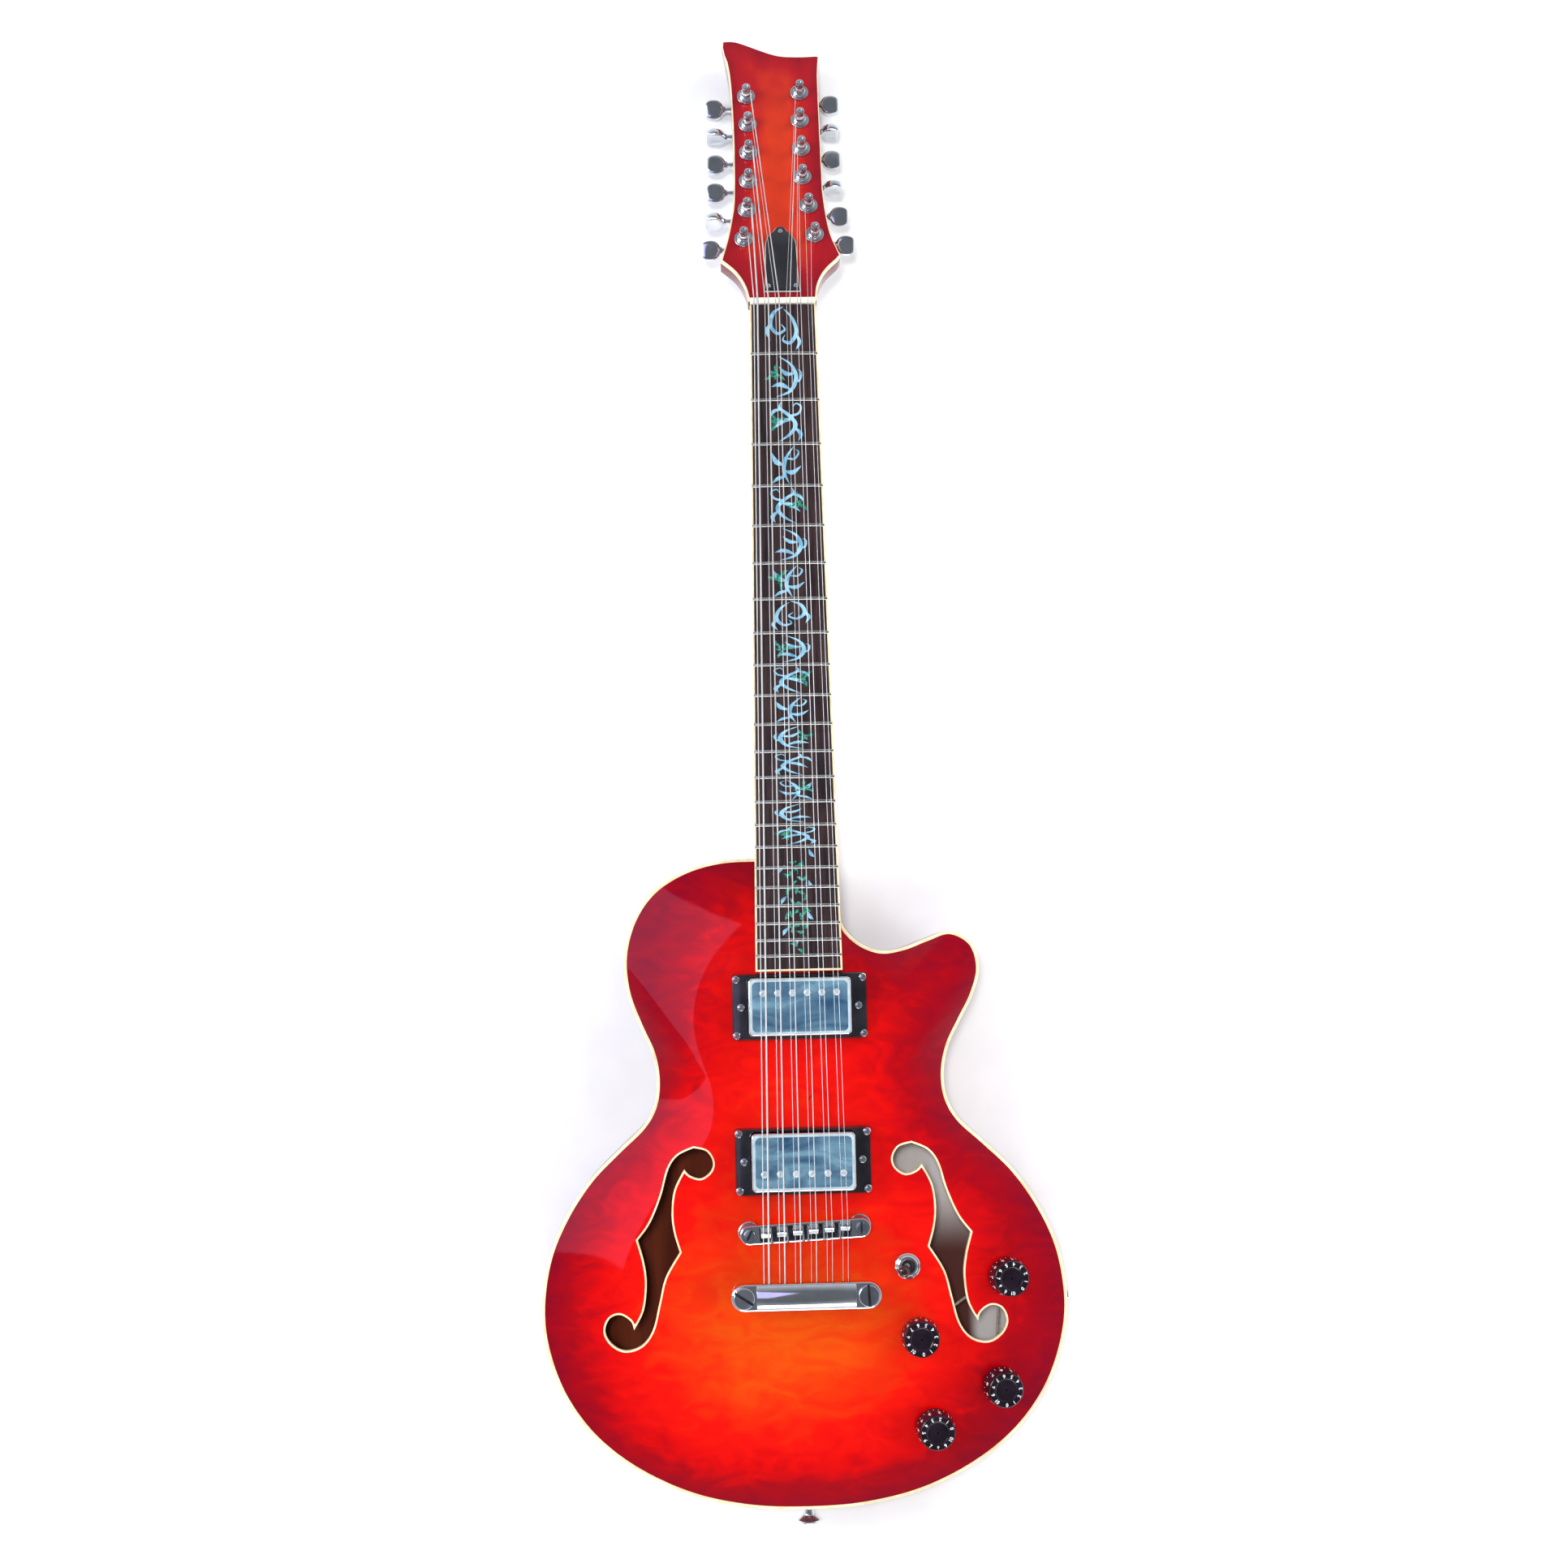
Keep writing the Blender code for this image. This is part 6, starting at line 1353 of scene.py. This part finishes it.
dressed(middle, chrome, place=TAIL_PLACE)
for side, turn in ((-1, -33), (1, 93)):
    stud = turned("tail_stud_%s" % ("bass" if side < 0 else "treble"), [
        (0.0040, 0.0352), (0.0040, TOP_Z + 0.0003), (0.0072, TOP_Z + 0.0003), (0.0072, TOP_Z + 0.0014),
        (0.0064, TOP_Z + 0.0020), (0.0040, TOP_Z + 0.0021), (0.0040, TAIL_TOP - 0.0060),
        (0.0071, TAIL_TOP - 0.0058), (0.0072, TAIL_TOP - 0.0010), (0.0070, TAIL_TOP - 0.0003),
        (0.0065, TAIL_TOP + 0.0001), (0.0058, TAIL_TOP), (0.0040, TAIL_TOP - 0.0001)], 40)
    slotted(stud, turn, 0.009, 0.0009, TAIL_TOP, 0.0014)
    dulled(dressed(stud, satin, place=TAIL_PLACE @ moved(side * TAIL_STUD_X)), TAIL_TOP - 0.0014)

# Knobs: four black dials on the pots' shafts, with white numerals and ticks printed round the wall;
# the numerals again round the top are a painted reflection of that print.

knob_black = finish_with("knob_black", (0.004, 0.002, 0.004), (0.012, 0.006, 0.013), (90, 90, 90),
                         (0.14, 0.26), coat=0.4, specular=0.3)
white_print = finish_with("white_print", (0.55, 0.55, 0.56), (0.80, 0.80, 0.80), (400, 400, 400), (0.4, 0.5))
KNOB_ZEROS = {"neck_volume": 222, "bridge_volume": 217, "neck_tone": 215, "bridge_tone": -12}
NUMERAL_STEP = 31.5
TICK = ((-0.00013, 0.0), (0.00013, 0.0), (0.00013, 0.0013), (-0.00013, 0.0013))
WALL = ((0.0127, 0.0048), (0.0117, 0.0142))


def wall_radius(height):
    (low_radius, low), (high_radius, high) = WALL
    return low_radius + (high_radius - low_radius) * (height - low) / (high - low)


def wrapped(piece, angle, height, on_top):
    """Bends flat print round the knob's wall, or its painted reflection round the edge of its top, with its
    head up or inward.
    """
    for vertex in piece.data.vertices:
        u, v = vertex.co.x, vertex.co.y
        z = 0.01545 if on_top else height + v
        reach = height - v if on_top else wall_radius(z) + 0.00006
        turn = angle + u / (height if on_top else reach)
        vertex.co = (reach * math.cos(turn), reach * math.sin(turn), z)


for name, zero in KNOB_ZEROS.items():
    spot = top_frame(*KNOB_PLACES[name])
    knob = turned("dial_" + name, [
        (0.0054, 0.0012), (0.0119, 0.0012), (0.0126, 0.0016), (0.0127, 0.0022), (0.0127, 0.0048),
        (0.0117, 0.0142), (0.0115, 0.0149), (0.0111, 0.0153), (0.0105, 0.0154), (0.0078, 0.0154),
        (0.0074, 0.0152), (0.0070, 0.0149), (0.0030, 0.0147), (0.0006, 0.01465), (0.0006, 0.0125),
        (0.0030, 0.0124), (0.0030, 0.0036), (0.0054, 0.0035)], 64, hollow=True)
    dressed(knob, knob_black, "knob_" + name, ["knob_" + name], spot)
    prints = []
    for number in range(11):
        angle = math.radians(zero + NUMERAL_STEP * number)
        # the numerals round the top are a painted reflection of the wall's print
        for on_top, size, height in ((False, 0.0044, 0.0098), (True, 0.0033, 0.0096)):
            deselect()
            bpy.ops.object.text_add()
            text = bpy.context.object
            text.data.body = str(number)
            text.data.size = size
            text.data.align_x = "CENTER"
            text.data.align_y = "CENTER"
            text.data.offset = 0.00008
            bpy.ops.object.convert(target="MESH")
            wrapped(bpy.context.object, angle, height, on_top)
            prints.append(bpy.context.object)
        for half in (0.0, 0.5):
            if number + half > 10:
                continue
            tick = skin("tick", [flat(TICK, 0.0)] * 2)
            wrapped(tick, angle + math.radians(NUMERAL_STEP * half), 0.0051 + 0.0003 * half, False)
            prints.append(tick)
    dressed(joined(prints, "numerals_" + name), white_print, "knob_" + name, place=spot)

# Pickup switch: a three-way toggle whose lever, with a dark brown tip, tilts in a threaded bushing
# that a knurled, ringed nut holds to the top.

tip_brown = finish_with("tip_brown", (0.012, 0.004, 0.003), (0.036, 0.013, 0.010), (130, 130, 130),
                        (0.1, 0.2), coat=0.8)
SWITCH_FRAME = top_frame(*SWITCH_PLACE)
nut = turned("switch_nut", [
    (0.0059, 0.0003), (0.0083, 0.0003), (0.0084, 0.0007), (0.0084, 0.0017), (0.0079, 0.0021),
    (0.0078, 0.0024), (0.0075, 0.0026), (0.0072, 0.0024), (0.0069, 0.0026), (0.0066, 0.0030),
    (0.0062, 0.0032), (0.0059, 0.0030)], 48, hollow=True)
dressed(nut, chrome, place=SWITCH_FRAME)
bushing = turned("switch_bushing", [
    (0.0058, -0.0062), (0.0058, 0.0038), (0.0056, 0.0042), (0.0050, 0.0043), (0.0047, 0.0041),
    (0.0046, 0.0036), (0.0046, -0.0062)], 40, hollow=True)
dressed(bushing, chrome, place=SWITCH_FRAME)
LEVER_TURN, LEVER_LEAN = 212, 17
LEVER_FRAME = SWITCH_FRAME @ moved(z=-0.0010) @ spun(LEVER_TURN) @ spun(LEVER_LEAN, "Y")
lever = turned("lever", [(0.0013, -0.0023), (0.0022, -0.0016), (0.0026, -0.0006), (0.0026, 0.0006),
                         (0.0022, 0.0016), (0.0013, 0.0023), (0.0013, 0.0080)], 24)
dressed(lever, chrome, "switch_lever", ["switch_lever"], LEVER_FRAME)
tip = turned("lever_tip", [
    (0.0016, 0.0066), (0.0023, 0.0068), (0.0026, 0.0074), (0.0027, 0.0088), (0.0031, 0.0106),
    (0.0035, 0.0122), (0.0036, 0.0137), (0.0034, 0.0151), (0.0028, 0.0161), (0.0020, 0.0167),
    (0.0008, 0.0169)], 32)
dressed(tip, tip_brown, "switch_lever", place=LEVER_FRAME, angle=50)

# Wiring: four pots in pressed cans and the switch in its frame, hung under the top by their nuts and
# soldered together with cloth-covered leads.

pot_metal = finish_with("pot_metal", (0.34, 0.32, 0.29), (0.52, 0.50, 0.46), (120, 120, 120), (0.3, 0.5),
                        metallic=1.0)
lead_cover = finish_with("lead_cover", (0.30, 0.26, 0.18), (0.55, 0.50, 0.38), (600, 600, 600), (0.7, 0.85))
UNDER = -TOP_THICKNESS - GAP
lug_ends = []
for name, place in KNOB_PLACES.items():
    spot = top_frame(*place)
    pot = turned("pot_" + name, [
        (0.0032, UNDER - 0.0040), (0.0032, -0.0020), (0.0032, 0.0024), (0.0042, 0.0024),
        (0.0042, UNDER - 0.0014), (0.0112, UNDER - 0.0015), (0.0120, UNDER - 0.0021),
        (0.0120, UNDER - 0.0080), (0.0114, UNDER - 0.0088), (0.0100, UNDER - 0.0090),
        (0.0032, UNDER - 0.0090)], 40, hollow=True)
    dressed(pot, pot_metal, place=spot)
    nut = turned("pot_nut_" + name, [(0.0043, 0.0003), (0.0053, 0.0003), (0.0053, 0.0018), (0.0049, 0.0021),
                                     (0.0043, 0.0021)], 6, hollow=True)
    dressed(nut, chrome, place=spot)
    shaft = turned("pot_shaft_" + name, [(0.0029, -0.0040), (0.0029, 0.0100), (0.0026, 0.0104)], 24)
    worked(shaft, block_of("split", (-0.004, -0.0003, 0.0040), (0.004, 0.0003, 0.012)))
    dressed(shaft, pot_metal, "knob_" + name, place=spot)
    lug_ends.append(spot @ Vector((0.0, 0.0, UNDER - 0.0092)))
switch_box = softened(block_of("switch_frame", (-0.0085, -0.0050, UNDER - 0.0200),
                               (0.0085, 0.0050, UNDER - 0.0022)), 0.0006, 2)
dressed(switch_box, pot_metal, nodes=["wiring_harness"], place=SWITCH_FRAME)
foot = SWITCH_FRAME @ Vector((0.0, 0.0, UNDER - 0.0192))
for i, (start, end) in enumerate(((lug_ends[0], lug_ends[2]), (lug_ends[1], lug_ends[3]),
                                  (lug_ends[0], lug_ends[1]), (foot, lug_ends[1]))):
    sag = Vector((0.0, 0.0, 0.0040))
    path = [start.lerp(end, step / 12) - sag * math.sin(math.pi * step / 12) for step in range(13)]
    dressed(tube("lead_%d" % (i + 1), path, 0.0009), lead_cover)

# Output jack: a threaded steel socket in the lower rim on the thin-string side, with a washer and a
# chromed hexagon nut outside and its contact housing within.


def side_place(x, y, z, way):
    """A frame on the rim whose Z points out of the body."""
    return moved(x, y, z) @ Vector(way).to_track_quat("Z", "Y").to_matrix().to_4x4()


rim_x = max(xa + (JACK_Y - ya) * (xb - xa) / (yb - ya)
            for (xa, ya), (xb, yb) in zip(OUTLINE, OUTLINE[1:] + OUTLINE[:1])
            if min(ya, yb) <= JACK_Y <= max(ya, yb) and ya != yb)
JACK_FRAME = side_place(rim_x, JACK_Y, JACK_Z, (1.0, 0.0, 0.0))
barrel = turned("jack_barrel", [
    (0.0090, -0.0228), (0.0090, -0.0070), (0.0084, -0.0066), (0.0046, -0.0066), (0.0046, 0.0039),
    (0.0043, 0.0042), (0.0037, 0.0042), (0.0034, 0.0039), (0.0034, -0.0228)], 40, hollow=True)
dressed(barrel, chrome, nodes=["output_jack"], place=JACK_FRAME)
washer = turned("jack_washer", [(0.0047, 0.0003), (0.0085, 0.0003), (0.0085, 0.0007), (0.0082, 0.0009),
                                (0.0047, 0.0009)], 40, hollow=True)
dressed(washer, chrome, place=JACK_FRAME)
nut = turned("jack_nut", [(0.0047, 0.0010), (0.0074, 0.0010), (0.0074, 0.0029), (0.0069, 0.0032),
                          (0.0047, 0.0032)], 6, hollow=True)
dressed(softened(nut, 0.0002, 1, 20), chrome, place=JACK_FRAME)

# Strap buttons: two turned and chromed buttons, one in the lower end of the rim and one in the heel,
# each held by a cross-head wood screw down its middle over a felt washer.

felt = finish_with("felt", (0.012, 0.012, 0.012), (0.04, 0.04, 0.04), (900, 900, 900), (0.9, 1.0), 0.0001)
heel_high, heel_low = [Vector((0.0, -place, -BOARD_THICKNESS - GAP - depth))
                       for place, depth in NECK_STATIONS[6:8]]
slope = heel_low - heel_high
HEEL_SPOT = (NECK_FRAME @ Matrix.Translation((heel_high + heel_low) / 2)
             @ Vector((0.0, -slope.z, slope.y)).to_track_quat("Z", "Y").to_matrix().to_4x4())
END_SPOT = side_place(0.0, BODY_END_Y, RIM_HEIGHT / 2, (0.0, -1.0, 0.0))
for name, spot in (("end", END_SPOT), ("heel", HEEL_SPOT)):
    button = turned("strap_button_turned_" + name, [
        (0.0018, -0.0100), (0.0018, 0.0009), (0.0050, 0.0009), (0.0052, 0.0013), (0.0050, 0.0026),
        (0.0043, 0.0040), (0.0038, 0.0052), (0.0037, 0.0074), (0.0041, 0.0092), (0.0052, 0.0108),
        (0.0067, 0.0117), (0.0072, 0.0123), (0.0072, 0.0131), (0.0069, 0.0137), (0.0062, 0.0140),
        (0.0042, 0.0139), (0.0036, 0.0132), (0.0012, 0.0131)], 40)
    dressed(button, chrome, nodes=["strap_button_" + name], place=spot)
    screwed("strap_screw_" + name, spot @ moved(z=0.0129), 3.2, 20)
    washer = turned("strap_felt_" + name, [
        (0.0019, 0.0002), (0.0058, 0.0002), (0.0059, 0.0005), (0.0058, 0.0009), (0.0019, 0.0009)],
        32, hollow=True)
    dressed(washer, felt, place=spot)
bpy.data.objects.remove(screw_model)

low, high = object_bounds()
